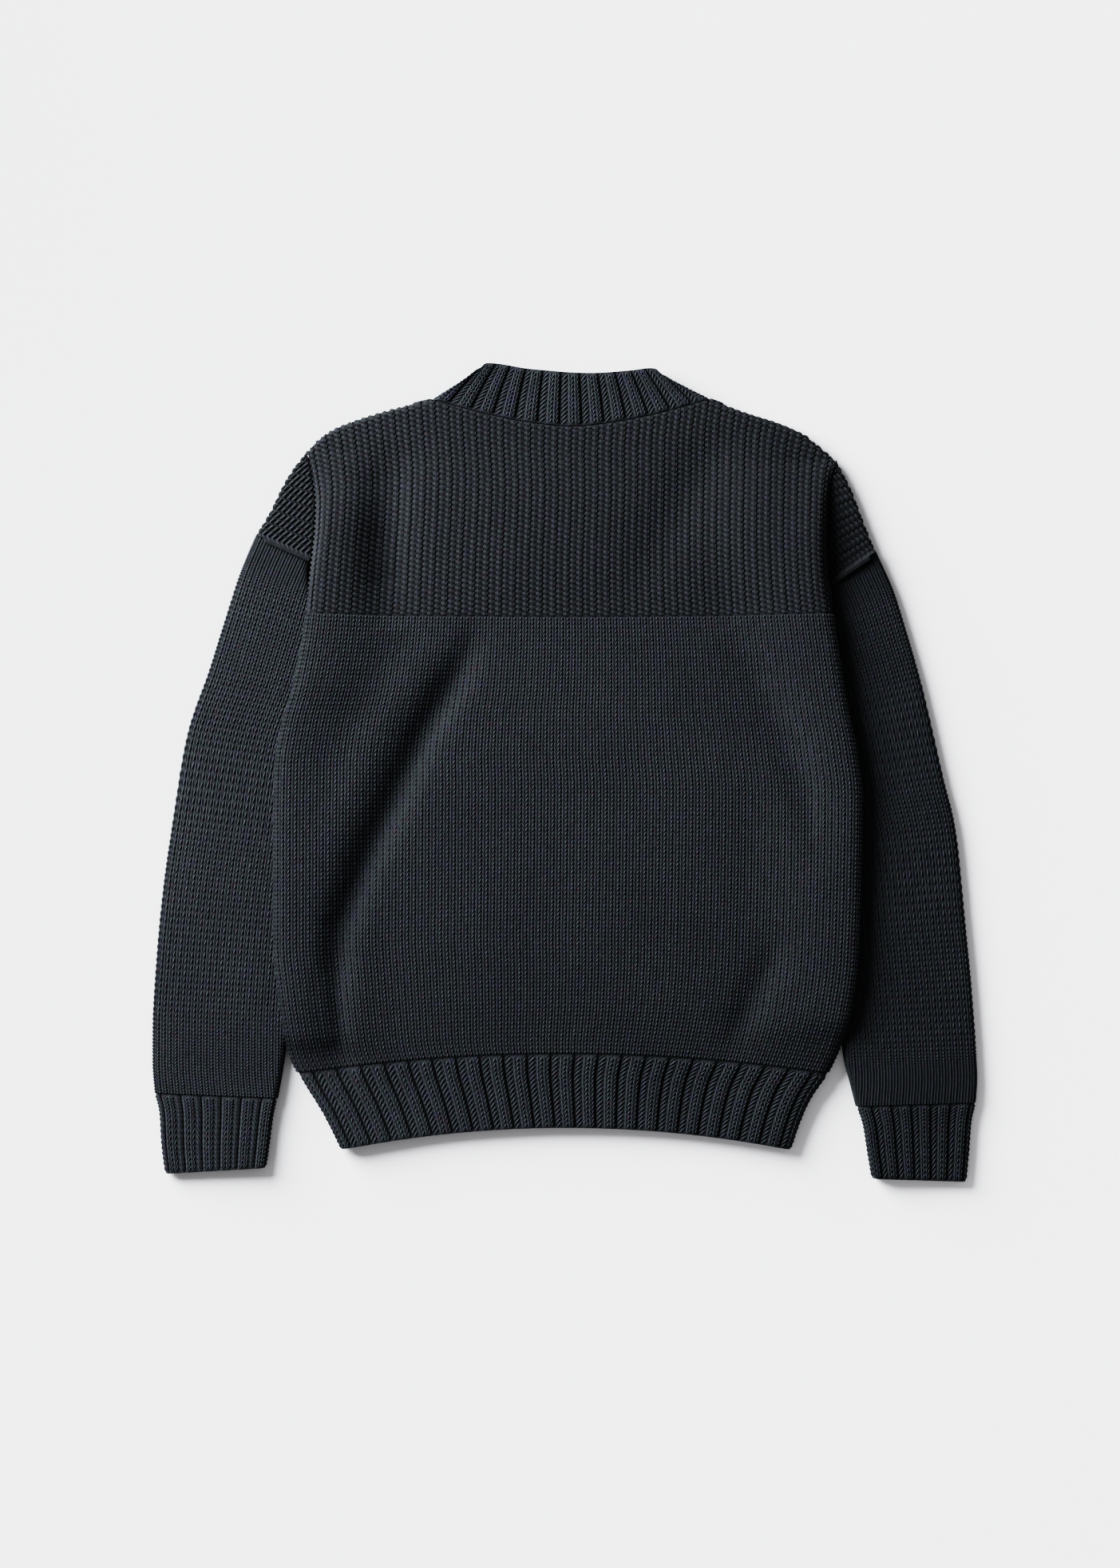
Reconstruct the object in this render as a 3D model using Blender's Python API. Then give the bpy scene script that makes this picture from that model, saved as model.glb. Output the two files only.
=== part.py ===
"""Guernsey fisherman sweater, laid flat on a surface with its back up.

Every piece is one wall of knitted cloth. Its outer face is a surface worked out from the
garment's outline and its lie, and the wall is that face thickened inwards. The front lies
on the surface at Z = 0, the back lies on the front, and the sleeves lie at the sides with
their inner edges tucked under the body. Neck towards +Y. Lengths are in millimetres until
the meshes are made.
"""

import math
from collections import Counter, namedtuple

import bpy
import numpy as np

MM = 0.001
OBJECT_NAME = "guernsey_fisherman_sweater"

# ---------------------------------------------------------------- driving dimensions
CLOTH = 4.5  # wall of the stocking stitch and seed stitch
RIB_CLOTH = 5.0  # wall of the ribs
SEAM_GAP = 0.3  # between pieces
LEAST_HEIGHT = 9.7  # from the front's underside to the back's top where they are pressed
EDGE_TURN = 6.2  # radius of the fold along shoulders, sleeves and collar
SIDE_TURN = 12.0  # width of the fold along the body's sides
SLEEVE_HEIGHT = 12.4  # top of the sleeves, and of the dropped shoulders beside the body
SLEEVE_CROWN = 1.2  # how much more a sleeve rises along its middle
SLEEVE_TILT = 2.0  # and along its inner edge, with as much less along its outer one
TILT_START = 0.3  # share of a sleeve over which that begins
SLEEVE_LIFT = 15.0  # underside of the body where a sleeve lies beneath it
SIDE_FADE = (12.0, 105.0)  # from a side: where the raised back starts and stops falling
TUCK_FADE = (34.0, 66.0)  # from a side: where the front starts and stops coming down
ARMHOLE_RAMP = 24.0  # below the armhole: the front's edge rises to meet the back's
COLLAR_TOP = 15.5  # top of the collar's upper edge
NECK_CENTRE = 5.5
NECK_HALF_WIDTH = 122.5
NECK_SIDE_Y = 327.9
BACK_NECK_DEPTH = 24.5
FRONT_NECK_DEPTH = 64.0
COLLAR_LEFT_TIP = (-78.0, 350.5)  # where the collar's left fold ends at its upper edge
COLLAR_RIGHT_TIP = (88.0, 345.5)
COLLAR_FRONT_DROP = 40.0  # how far the front's upper edge lies below the back's

# Faces along each stretch of the walls.
TURN_STEPS = 3  # round a folded edge
NECK_STEPS = 8  # along the neckline, between the collar's folds
YOKE_STEPS = 6  # down the yoke, from the shoulders' folded edge to the first armhole
BAND_STEPS = 3  # down a rib
WING_STEPS = 3  # across a dropped shoulder, inside its folded edge
SLEEVE_FLAT_STEPS = 4  # across a sleeve, between its folded edges
SEWN_WITHIN = 0.001  # patches share a point where theirs are this close
THINNING_PASSES = 8  # where a wall is folded tightly, how often and by how much it is thinned
THINNING = 0.8
SIDE_DISTANCES = (9.0, 31.0, 45.0, 60.0)  # in from the body's sides
BODY_LEVELS = (139.0, 104.0, 76.0, 43.0, 4.0, -46.0, -97.0, -148.0, -189.0, -211.0, -229.0,
               -247.0, -263.5)

# The body's folded sides, from the shoulder's corner down to the hem. lift is the share of
# SLEEVE_LIFT that the front is raised there, and crest is the back's height inside the edge.
Side = namedtuple("Side", "y x lift crest")
LEFT_SIDE = [
    Side(282.0, -226.0, 0.0, 13.0),
    Side(258.0, -221.5, 0.0, 16.5),
    Side(234.5, -218.8, 0.0, 22.0),
    Side(210.0, -219.8, 0.0, 26.0),
    Side(189.0, -222.0, 0.0, 28.0),
    Side(158.0, -224.8, 1.0, 30.5),
    Side(132.0, -227.5, 1.0, 31.5),
    Side(76.0, -238.0, 1.0, 31.0),
    Side(43.0, -247.5, 1.0, 30.5),
    Side(4.0, -254.0, 1.0, 30.0),
    Side(-50.0, -255.0, 1.0, 29.5),
    Side(-148.0, -255.0, 1.0, 29.0),
    Side(-191.0, -251.0, 1.0, 28.5),
    Side(-226.0, -246.0, 0.85, 26.0),
    Side(-249.0, -241.0, 0.25, 19.0),
    Side(-272.0, -229.0, 0.0, 16.0),
    Side(-299.0, -212.5, 0.0, 15.0),
    Side(-330.0, -197.0, 0.0, 14.5),
]
RIGHT_SIDE = [
    Side(273.5, 238.0, 0.0, 13.0),
    Side(256.0, 233.0, 0.0, 18.0),
    Side(230.0, 230.8, 0.0, 24.5),
    Side(200.0, 230.0, 0.0, 29.0),
    Side(168.0, 231.5, 0.0, 31.0),
    Side(138.0, 235.0, 1.0, 31.5),
    Side(112.0, 239.0, 1.0, 31.5),
    Side(62.0, 247.0, 1.0, 31.0),
    Side(20.0, 255.5, 1.0, 30.5),
    Side(-22.0, 260.5, 1.0, 29.5),
    Side(-92.0, 259.5, 1.0, 29.0),
    Side(-162.0, 257.0, 1.0, 28.5),
    Side(-211.0, 250.0, 0.95, 27.0),
    Side(-240.0, 241.5, 0.3, 20.0),
    Side(-264.0, 230.5, 0.0, 16.3),
    Side(-284.0, 217.0, 0.0, 15.2),
    Side(-303.0, 208.0, 0.0, 14.8),
    Side(-330.0, 198.5, 0.0, 14.5),
]
LEFT_ARMHOLE_Y = 189.0
RIGHT_ARMHOLE_Y = 168.0

# Height of the back's middle, where it lies on the front with some air between.
Loft = namedtuple("Loft", "y height")
LOFTS = [Loft(340.0, 12.8), Loft(290.0, 13.5), Loft(230.0, 17.0), Loft(139.0, 18.5),
         Loft(0.0, 19.5), Loft(-120.0, 19.5), Loft(-190.0, 18.0), Loft(-240.0, 15.5),
         Loft(-285.0, 13.3), Loft(-330.0, 12.8)]

# The shoulders' folded edges, from left to right.
Spot = namedtuple("Spot", "x y")
LEFT_SHOULDER = [Spot(-226.0, 282.0), Spot(-215.2, 293.3), Spot(-199.8, 303.1),
                 Spot(-156.4, 317.8), Spot(-117.0, 327.9)]
RIGHT_SHOULDER = [Spot(128.0, 327.9), Spot(154.4, 318.0), Spot(185.2, 308.0),
                  Spot(205.5, 299.6), Spot(224.4, 285.5), Spot(238.0, 273.5)]

# Each dropped shoulder's outer edge, down to the armhole seam.
LEFT_WING = [Spot(-226.0, 282.0), Spot(-238.5, 266.5), Spot(-247.5, 252.0),
             Spot(-258.5, 229.5), Spot(-270.0, 210.0)]
RIGHT_WING = [Spot(238.0, 273.5), Spot(245.0, 261.0), Spot(251.5, 248.0),
              Spot(261.5, 222.0), Spot(272.0, 195.5)]

# How the courses of knitting run across: y at the sides, and how much higher the middle is.
Course = namedtuple("Course", "y bow")
COURSES = [Course(139.0, -3.0), Course(0.0, 4.0), Course(-150.0, 11.0),
           Course(-263.5, 17.5), Course(-330.0, 19.5)]
YOKE_END = COURSES[0].y
RIB_START = COURSES[3].y
HEM_END = COURSES[4].y

# A sleeve's outer and inner edges, from the armhole seam down. The inner edge lies under
# the body until the sleeve comes clear of it above the hem.
Station = namedtuple("Station", "outer_x outer_y inner_x inner_y")
LEFT_SLEEVE = [
    Station(-270.0, 210.0, -222.6, 189.0),
    Station(-277.5, 193.0, -224.0, 174.5),
    Station(-285.0, 174.5, -222.4, 158.0),
    Station(-299.0, 131.0, -219.0, 112.0),
    Station(-312.0, 89.6, -216.0, 70.0),
    Station(-331.0, 33.6, -224.0, 18.0),
    Station(-344.0, -43.4, -228.0, -56.0),
    Station(-352.0, -99.4, -228.5, -110.0),
    Station(-358.0, -162.4, -233.0, -170.0),
    Station(-361.3, -218.4, -241.5, -224.0),
    Station(-361.5, -252.0, -246.0, -256.0),
    Station(-359.5, -281.0, -251.0, -285.0),
]
RIGHT_SLEEVE = [
    Station(272.0, 195.5, 232.1, 168.0),
    Station(280.0, 178.5, 233.9, 154.0),
    Station(288.0, 160.0, 232.6, 138.0),
    Station(300.0, 122.0, 229.5, 98.0),
    Station(312.0, 80.0, 226.0, 58.0),
    Station(331.0, -1.4, 232.0, -18.0),
    Station(342.5, -50.4, 233.0, -64.0),
    Station(350.5, -127.4, 233.5, -138.0),
    Station(356.0, -183.4, 239.0, -192.0),
    Station(360.4, -243.0, 243.5, -247.0),
    Station(361.5, -267.0, 249.0, -270.0),
    Station(360.2, -289.0, 254.5, -292.0),
]
LEFT_CUFF = [
    Station(-359.5, -281.0, -251.0, -285.0),
    Station(-355.5, -297.5, -254.5, -302.0),
    Station(-353.8, -325.0, -257.5, -325.0),
    Station(-350.5, -351.0, -260.5, -345.5),
]
RIGHT_CUFF = [
    Station(360.2, -289.0, 254.5, -292.0),
    Station(356.5, -306.0, 260.0, -309.0),
    Station(354.5, -331.0, 263.5, -331.0),
    Station(352.0, -357.9, 267.5, -355.0),
]

# The collar's upper edge on the back, by share of the way from its left to its right tip.
Edge = namedtuple("Edge", "share y")
COLLAR_EDGE = [Edge(0.0, 350.5), Edge(0.09, 357.9), Edge(0.30, 352.8), Edge(0.60, 349.3),
               Edge(0.80, 351.5), Edge(0.90, 353.5), Edge(1.0, 345.5)]

# The back's large soft folds. Each runs through its spots, is as high as height there
# (negative for a trough), and fades over reach to each side.
Fold = namedtuple("Fold", "x y height reach")
FOLDS = [
    [  # trough from below the yoke down to the hem's left
        Fold(-72.0, 140.0, 0.0, 14.0), Fold(-84.0, 108.0, -4.0, 14.0),
        Fold(-99.0, 78.0, -7.5, 13.5), Fold(-124.0, 34.0, -8.0, 13.5),
        Fold(-148.0, -20.0, -8.0, 13.5), Fold(-174.0, -76.0, -8.0, 13.5),
        Fold(-196.0, -134.0, -8.5, 13.5), Fold(-203.0, -190.0, -8.0, 13.5),
        Fold(-199.0, -236.0, -5.0, 12.5), Fold(-188.0, -272.0, 0.0, 12.0)],
    [  # bank beside that trough
        Fold(-118.0, 122.0, 0.0, 20.0), Fold(-138.0, 80.0, 4.0, 20.0),
        Fold(-168.0, 22.0, 4.0, 20.0), Fold(-200.0, -56.0, 2.0, 16.0),
        Fold(-226.0, -130.0, 0.0, 16.0)],
    [  # hollow in the yoke beside the left side
        Fold(-148.0, 290.0, 0.0, 20.0), Fold(-156.0, 252.0, -7.5, 21.0),
        Fold(-158.0, 205.0, -10.5, 21.0), Fold(-156.0, 168.0, -8.5, 21.0),
        Fold(-150.0, 124.0, 0.0, 20.0)],
    [  # swell of the yoke's right
        Fold(176.0, 300.0, 0.0, 26.0), Fold(176.0, 262.0, 2.5, 28.0),
        Fold(160.0, 214.0, 2.5, 28.0), Fold(146.0, 150.0, 0.0, 26.0)],
    [  # hollow across the yoke, beside that swell
        Fold(142.0, 304.0, 0.0, 20.0), Fold(124.0, 272.0, -3.2, 22.0),
        Fold(98.0, 228.0, -3.2, 24.0), Fold(74.0, 182.0, -1.8, 24.0),
        Fold(60.0, 140.0, 0.0, 24.0)],
    [  # trough beside the right side
        Fold(140.0, 122.0, 0.0, 16.0), Fold(168.0, 80.0, -5.0, 18.0),
        Fold(196.0, 22.0, -6.0, 18.0), Fold(217.0, -36.0, -5.0, 17.0),
        Fold(228.0, -90.0, 0.0, 16.0)],
    [  # short trough above the hem's right
        Fold(190.0, -130.0, 0.0, 15.0), Fold(178.0, -170.0, -3.5, 15.0),
        Fold(156.0, -215.0, -3.5, 14.0), Fold(140.0, -250.0, 0.0, 14.0)],
]

Finish = namedtuple("Finish", "color roughness")
KNIT = Finish((0.017, 0.022, 0.030), 0.95)


# ---------------------------------------------------------------- curves through tables
def through(knots, values, at):
    """A smooth curve through the table's points that never swings past them."""
    knots, values = np.asarray(knots, float), np.asarray(values, float)
    if knots[0] > knots[-1]:
        knots, values = knots[::-1], values[::-1]
    step = np.diff(knots)
    slope = np.diff(values) / step
    product, total = slope[1:] * slope[:-1], slope[1:] + slope[:-1]
    bend = np.where(product > 0, 2 * product / np.where(product > 0, total, 1), 0)
    tangent = np.concatenate([slope[:1], bend, slope[-1:]])
    at = np.clip(at, knots[0], knots[-1])
    i = np.clip(np.searchsorted(knots, at, side="right") - 1, 0, len(step) - 1)
    t = (at - knots[i]) / step[i]
    return (
        (1 + 2 * t) * (1 - t) ** 2 * values[i]
        + t * (1 - t) ** 2 * step[i] * tangent[i]
        + t * t * (3 - 2 * t) * values[i + 1]
        - t * t * (1 - t) * step[i] * tangent[i + 1]
    )


def column(table, name):
    return [getattr(row, name) for row in table]


def at_level(table, name, y):
    return through(column(table, "y"), column(table, name), y)


def along_edge(spots, share):
    """x and y on the edge through the spots, at a share of its length."""
    corners = np.array(spots)
    run = np.concatenate([[0], np.cumsum(np.linalg.norm(np.diff(corners, axis=0), axis=1))])
    return (
        through(run, corners[:, 0], share * run[-1]),
        through(run, corners[:, 1], share * run[-1]),
    )


def fade(distance, start, stop):
    """1 up to start, 0 from stop on, and smooth in between."""
    t = np.clip((distance - start) / (stop - start), 0, 1)
    return 1 - t * t * (3 - 2 * t)


def turned_edge(length, turn, angle=math.pi / 2):
    """Cloth of this length past an edge where it turns down by the angle: how far in from
    the edge it reaches, and its rise, up to 1 where it lies flat."""
    left = np.maximum(angle - length / turn, 0)
    flat = np.maximum(length - turn * angle, 0)
    return turn * (np.sin(angle) - np.sin(left)) + flat, np.cos(left)


def turned_length(width, turn, angle=math.pi / 2):
    """Length of cloth over width, with one edge turned down by the angle."""
    return width - turn * np.sin(angle) + turn * angle


def folded_across(share, width, turn):
    """The same for cloth turned down at both edges: inset from the first edge, and rise."""
    half = turned_length(width / 2, turn)
    inset, rise = turned_edge(2 * half * np.minimum(share, 1 - share), turn)
    return np.where(share < 0.5, inset, width - inset), rise


# ---------------------------------------------------------------- how the body lies
def fold_height(x, y):
    """The large folds' heights, added up."""
    total = np.zeros(np.broadcast(x, y).shape)
    for spots in FOLDS:
        best = np.full(total.shape, np.inf)
        height = np.zeros(total.shape)
        reach = np.ones(total.shape)
        for a, b in zip(spots[:-1], spots[1:]):
            run_x, run_y = b.x - a.x, b.y - a.y
            t = np.clip(((x - a.x) * run_x + (y - a.y) * run_y) / (run_x**2 + run_y**2), 0, 1)
            away = np.hypot(x - a.x - t * run_x, y - a.y - t * run_y)
            nearer = away < best
            best = np.where(nearer, away, best)
            height = np.where(nearer, a.height + t * (b.height - a.height), height)
            reach = np.where(nearer, a.reach + t * (b.reach - a.reach), reach)
        total += height * np.exp(-((best / reach) ** 2))
    return total


def front_height(x, y):
    """Underside of the front: on the surface, and raised where a sleeve lies beneath."""
    left = at_level(LEFT_SIDE, "lift", y) * fade(x - at_level(LEFT_SIDE, "x", y), *TUCK_FADE)
    right = at_level(RIGHT_SIDE, "lift", y) * fade(at_level(RIGHT_SIDE, "x", y) - x, *TUCK_FADE)
    return SLEEVE_LIFT * (left + right)


def back_height(x, y):
    """Top of the back: a low swell in the middle, raised at its sides, with its folds."""
    middle = at_level(LOFTS, "height", y)
    left = (at_level(LEFT_SIDE, "crest", y) - middle) * fade(
        x - at_level(LEFT_SIDE, "x", y), *SIDE_FADE
    )
    right = (at_level(RIGHT_SIDE, "crest", y) - middle) * fade(
        at_level(RIGHT_SIDE, "x", y) - x, *SIDE_FADE
    )
    height = middle + left + right + fold_height(x, y)
    least = front_height(x, y) + LEAST_HEIGHT
    return least + np.logaddexp(0, height - least)


def side_edge_height(side, y, armhole_y, back):
    """Height of the body's side edge: the seam in its fold, or the valley by the shoulder."""
    crest = at_level(side, "crest", y)
    seam = (SLEEVE_LIFT * at_level(side, "lift", y) + crest) / 2
    if back:
        return np.where(y > armhole_y, np.minimum(crest, SLEEVE_HEIGHT), seam + SEAM_GAP / 2)
    return (seam - SEAM_GAP / 2) * fade(y, armhole_y - ARMHOLE_RAMP, armhole_y)


def course_y(x, y_left, y_right, bow):
    left, right = at_level(LEFT_SIDE, "x", y_left), at_level(RIGHT_SIDE, "x", y_right)
    t = np.clip((x - left) / (right - left), 0, 1)
    return y_left + (y_right - y_left) * t + bow * 4 * t * (1 - t)


def across_body(share, y_left, y_right):
    """x at a share of the way across the body's cloth, and the rise of its folded edges."""
    left, right = at_level(LEFT_SIDE, "x", y_left), at_level(RIGHT_SIDE, "x", y_right)
    inset, rise = folded_across(share, right - left, SIDE_TURN)
    return left + inset, rise


def body_height(share, x, y, y_left, y_right, rise, back):
    edge = np.where(
        share < 0.5,
        side_edge_height(LEFT_SIDE, y_left, LEFT_ARMHOLE_Y, back),
        side_edge_height(RIGHT_SIDE, y_right, RIGHT_ARMHOLE_Y, back),
    )
    flat = back_height(x, y) if back else front_height(x, y)
    return edge + (flat - edge) * rise


def body_point(share, y_side, back):
    """A point of the body's outer face below the yoke, on the course that ends at y_side."""
    x, rise = across_body(share, y_side, y_side)
    y = course_y(x, y_side, y_side, at_level(COURSES, "bow", y_side))
    return np.stack([x, y, body_height(share, x, y, y_side, y_side, rise, back)], axis=-1)


def neckline(x, back):
    t = np.clip(np.abs((x - NECK_CENTRE) / NECK_HALF_WIDTH), 0, 1)
    if back:
        return NECK_SIDE_Y - BACK_NECK_DEPTH * (1 - t**1.6)
    return NECK_SIDE_Y - FRONT_NECK_DEPTH * (1 - t**2.6)


def yoke_top(x, back):
    """The yoke's upper boundary: shoulder, neckline, shoulder."""
    left = through(column(LEFT_SHOULDER, "x"), column(LEFT_SHOULDER, "y"), x)
    right = through(column(RIGHT_SHOULDER, "x"), column(RIGHT_SHOULDER, "y"), x)
    shoulder = np.where(x < NECK_CENTRE, left, right)
    return np.where(np.abs(x - NECK_CENTRE) < NECK_HALF_WIDTH, neckline(x, back), shoulder)


def on_shoulder(x):
    """1 along the shoulders, where the cloth turns down, to 0 along the neckline."""
    return 1 - np.clip((NECK_HALF_WIDTH - np.abs(x - NECK_CENTRE)) / EDGE_TURN, 0, 1)


def yoke_side_y(side, down):
    """y of the yoke's side edge, down its cloth from the shoulder (0) to its end (1)."""
    inset, _ = turned_edge(down * turned_length(side[0].y - YOKE_END, EDGE_TURN), EDGE_TURN)
    return side[0].y - inset


def yoke_point(share, down, back):
    """A point of the yoke's outer face between the dropped shoulders."""
    y_left, y_right = yoke_side_y(LEFT_SIDE, down), yoke_side_y(RIGHT_SIDE, down)
    x, rise = across_body(share, y_left, y_right)
    top_x, _ = across_body(share, LEFT_SIDE[0].y, RIGHT_SIDE[0].y)
    angle = on_shoulder(top_x) * math.pi / 2
    top = yoke_top(top_x, back) - 2 * SEAM_GAP * np.cos(angle)
    end = course_y(x, YOKE_END, YOKE_END, COURSES[0].bow)
    length = down * turned_length(top - end, EDGE_TURN, angle)
    inset, over = turned_edge(length, EDGE_TURN, angle)
    y = top - inset
    z = body_height(share, x, y, y_left, y_right, rise, back)
    edge = EDGE_TURN + (SEAM_GAP / 2 if back else -SEAM_GAP / 2)
    return np.stack([x, y, z + (edge - z) * (1 - over)], axis=-1)


def armhole_down(side, armhole_y):
    """How far down the yoke's cloth the armhole is."""
    whole = turned_length(side[0].y - YOKE_END, EDGE_TURN)
    return turned_length(side[0].y - armhole_y, EDGE_TURN) / whole


def wing_point(out, along, left, back):
    """A point of a dropped shoulder: out from the body (0) to its folded edge (1), and along
    from the shoulder's corner (0) to the armhole seam (1)."""
    side, wing = (LEFT_SIDE, LEFT_WING) if left else (RIGHT_SIDE, RIGHT_WING)
    armhole_y = LEFT_ARMHOLE_Y if left else RIGHT_ARMHOLE_Y
    valley = yoke_point(np.full_like(out, 0.0 if left else 1.0),
                        along * armhole_down(side, armhole_y), back)
    edge_x, edge_y = along_edge(wing, along)
    width = np.hypot(edge_x - valley[..., 0], edge_y - valley[..., 1])
    turn = np.clip(width, SEAM_GAP, EDGE_TURN)
    inset, rise = turned_edge((1 - out) * turned_length(np.maximum(width, turn), turn), turn)
    t = 1 - inset / np.maximum(width, turn)
    edge = EDGE_TURN + (SEAM_GAP / 2 if back else -SEAM_GAP / 2)
    return np.stack([
        valley[..., 0] + (edge_x - valley[..., 0]) * t,
        valley[..., 1] + (edge_y - valley[..., 1]) * t,
        edge + (valley[..., 2] - edge) * rise,
    ], axis=-1)


# ---------------------------------------------------------------- sleeves, cuffs and collar
def sleeve_point(around, down, stations, crown):
    """A point of a sleeve or cuff: around its tube from the inner edge over the top, and
    down its stations."""
    rows = np.linspace(0, 1, len(stations))
    outer_x, outer_y, inner_x, inner_y = (
        through(rows, column(stations, name), down) for name in Station._fields
    )
    share = 1 - np.abs(1 - 2 * around)
    width = np.hypot(outer_x - inner_x, outer_y - inner_y)
    inset, rise = folded_across(share, width, EDGE_TURN)
    t = inset / width
    middle = SLEEVE_HEIGHT / 2
    tilt = SLEEVE_TILT * (1 - 2 * t) * (1 - fade(down, 0, TILT_START) if crown else 1)
    top = SLEEVE_HEIGHT + tilt + crown * np.sin(math.pi * down) * 6.75 * t * t * (1 - t)
    z = np.where(around < 0.5, middle + (top - middle) * rise, middle - middle * rise)
    return np.stack([inner_x + (outer_x - inner_x) * t, inner_y + (outer_y - inner_y) * t, z],
                    axis=-1)


def collar_point(around, up):
    """A point of the collar: around from its left fold over the back to the right fold and
    home over the front, and up from its seam (0) to its upper edge (1)."""
    share = 1 - np.abs(1 - 2 * around)
    back = around < 0.5
    seam_left, seam_right = NECK_CENTRE - NECK_HALF_WIDTH, NECK_CENTRE + NECK_HALF_WIDTH
    seam_inset, seam_rise = folded_across(share, seam_right - seam_left, EDGE_TURN)
    seam_x = seam_left + seam_inset
    seam_y = np.where(back, neckline(seam_x, True), neckline(seam_x, False))
    seam_z = np.where(back, back_height(seam_x, seam_y), 0)
    edge_left, edge_right = COLLAR_LEFT_TIP[0], COLLAR_RIGHT_TIP[0]
    edge_inset, edge_rise = folded_across(share, edge_right - edge_left, COLLAR_TOP / 2)
    edge_y = through(column(COLLAR_EDGE, "share"), column(COLLAR_EDGE, "y"), share)
    edge_y = edge_y - np.where(back, 0, COLLAR_FRONT_DROP * np.sin(math.pi * share))
    edge_z = np.where(back, COLLAR_TOP, 0)
    seam_z = EDGE_TURN + (seam_z - EDGE_TURN) * seam_rise
    edge_z = COLLAR_TOP / 2 + (edge_z - COLLAR_TOP / 2) * edge_rise
    x = seam_x + (edge_left + edge_inset - seam_x) * up
    return np.stack([x, seam_y + (edge_y - seam_y) * up, seam_z + (edge_z - seam_z) * up],
                    axis=-1)


# ---------------------------------------------------------------- walls from surfaces
def patch(point, across, rows, outward, start=None, end=None):
    """The surface's points at each pair of across and rows, its normals there, facing out
    as the sign outward says, and the indices of its faces. Where start or end is given,
    that row is at a seam and is moved back from it by this share, and its rim is upright."""
    down = np.array(rows, float)
    down[0] += start or 0
    down[-1] -= end or 0
    lean_across, lean_down = np.meshgrid(across, rows)
    across, down = np.meshgrid(across, down)
    points = point(across, down)
    tiny = 1e-5

    def change(da, db):
        return point(np.clip(lean_across + da, 0, 1), np.clip(lean_down + db, 0, 1))

    normals = outward * np.cross(
        change(0, tiny) - change(0, -tiny), change(tiny, 0) - change(-tiny, 0)
    )
    for row in [0] * (start is not None) + [-1] * (end is not None):
        steps = np.diff(points[row, :, :2], axis=0)
        run = np.concatenate([steps[:1], steps])
        ahead = np.concatenate([steps, steps[-1:]])
        longer = np.linalg.norm(ahead, axis=1) > np.linalg.norm(run, axis=1)
        run[longer] = ahead[longer]
        run /= np.linalg.norm(run, axis=1, keepdims=True)
        off = normals[row, :, 0] * run[:, 1] - normals[row, :, 1] * run[:, 0]
        normals[row, :, 0] -= off * run[:, 1]
        normals[row, :, 1] += off * run[:, 0]
    length = np.linalg.norm(normals, axis=-1, keepdims=True)
    normals = np.where(length > 1e-12, normals / np.maximum(length, 1e-12), 0)
    index = np.arange(down.size).reshape(down.shape)
    faces = np.stack([index[:-1, :-1], index[1:, :-1], index[1:, 1:], index[:-1, 1:]], axis=-1)
    faces = faces.reshape(-1, 4)[:, ::outward]
    return points.reshape(-1, 3), normals.reshape(-1, 3), faces


def facing(corners):
    """The direction that a face looks in, as long as twice its area."""
    return np.cross(corners[1:-1] - corners[0], corners[2:] - corners[0]).sum(axis=0)


def wall(name, patches, thickness, collection):
    """One closed wall: the patches as its outer face, sewn where they share points, and the
    same face moved in by thickness, with rims between their open edges. It is thinner where
    it is folded too tightly for that."""
    places, spots, leans, outer = {}, [], [], []
    for points, normals, faces in patches:
        sewn = []
        for spot, lean in zip(points, normals):
            key = tuple(np.floor(spot / SEWN_WITHIN + 0.317))
            if key not in places:
                places[key] = len(spots)
                spots.append(spot)
                leans.append(np.zeros(3))
            sewn.append(places[key])
            leans[places[key]] = leans[places[key]] + lean
        for face in faces:
            corners = list(dict.fromkeys(sewn[i] for i in face))
            if len(corners) > 2:
                outer.append(corners)
    spots = np.array(spots)
    leans = np.array(leans)
    leans *= thickness / np.linalg.norm(leans, axis=1, keepdims=True)
    for _ in range(THINNING_PASSES):
        for face in outer:
            if facing(spots[face]) @ facing((spots - leans)[face]) < 0:
                leans[face] *= THINNING
    count = len(spots)
    inner = [[i + count for i in reversed(face)] for face in outer]
    edges = [(a, b) for face in outer for a, b in zip(face, face[1:] + face[:1])]
    uses = Counter(frozenset(edge) for edge in edges)
    rims = []
    for a, b in edges:
        if uses[frozenset((a, b))] == 1 and a < b:
            rims += [[b, a, b + count], [a, a + count, b + count]]
        elif uses[frozenset((a, b))] == 1:
            rims += [[b, a, a + count], [b, a + count, b + count]]
    mesh = bpy.data.meshes.new(name)
    vertices = np.concatenate([spots, spots - leans]) * MM
    mesh.from_pydata(vertices.tolist(), [], outer + inner + rims)
    mesh.validate()
    mesh.shade_smooth()
    mesh.set_sharp_from_angle(angle=math.radians(50))
    mesh.materials.append(finish_material(name))
    piece = bpy.data.objects.new(name, mesh)
    collection.objects.link(piece)


def finish_material(name):
    material = bpy.data.materials.new(name)
    material.use_nodes = True
    shader = material.node_tree.nodes["Principled BSDF"]
    shader.inputs["Base Color"].default_value = (*KNIT.color, 1.0)
    shader.inputs["Roughness"].default_value = KNIT.roughness
    shader.inputs["Metallic"].default_value = 0.0
    return material


# ---------------------------------------------------------------- where the faces divide
def turn_shares(length, turn, steps):
    """Shares of a length of cloth at which its turned-down start is divided."""
    return list(np.linspace(0, turn * math.pi / 2 / length, steps + 1))


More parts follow.
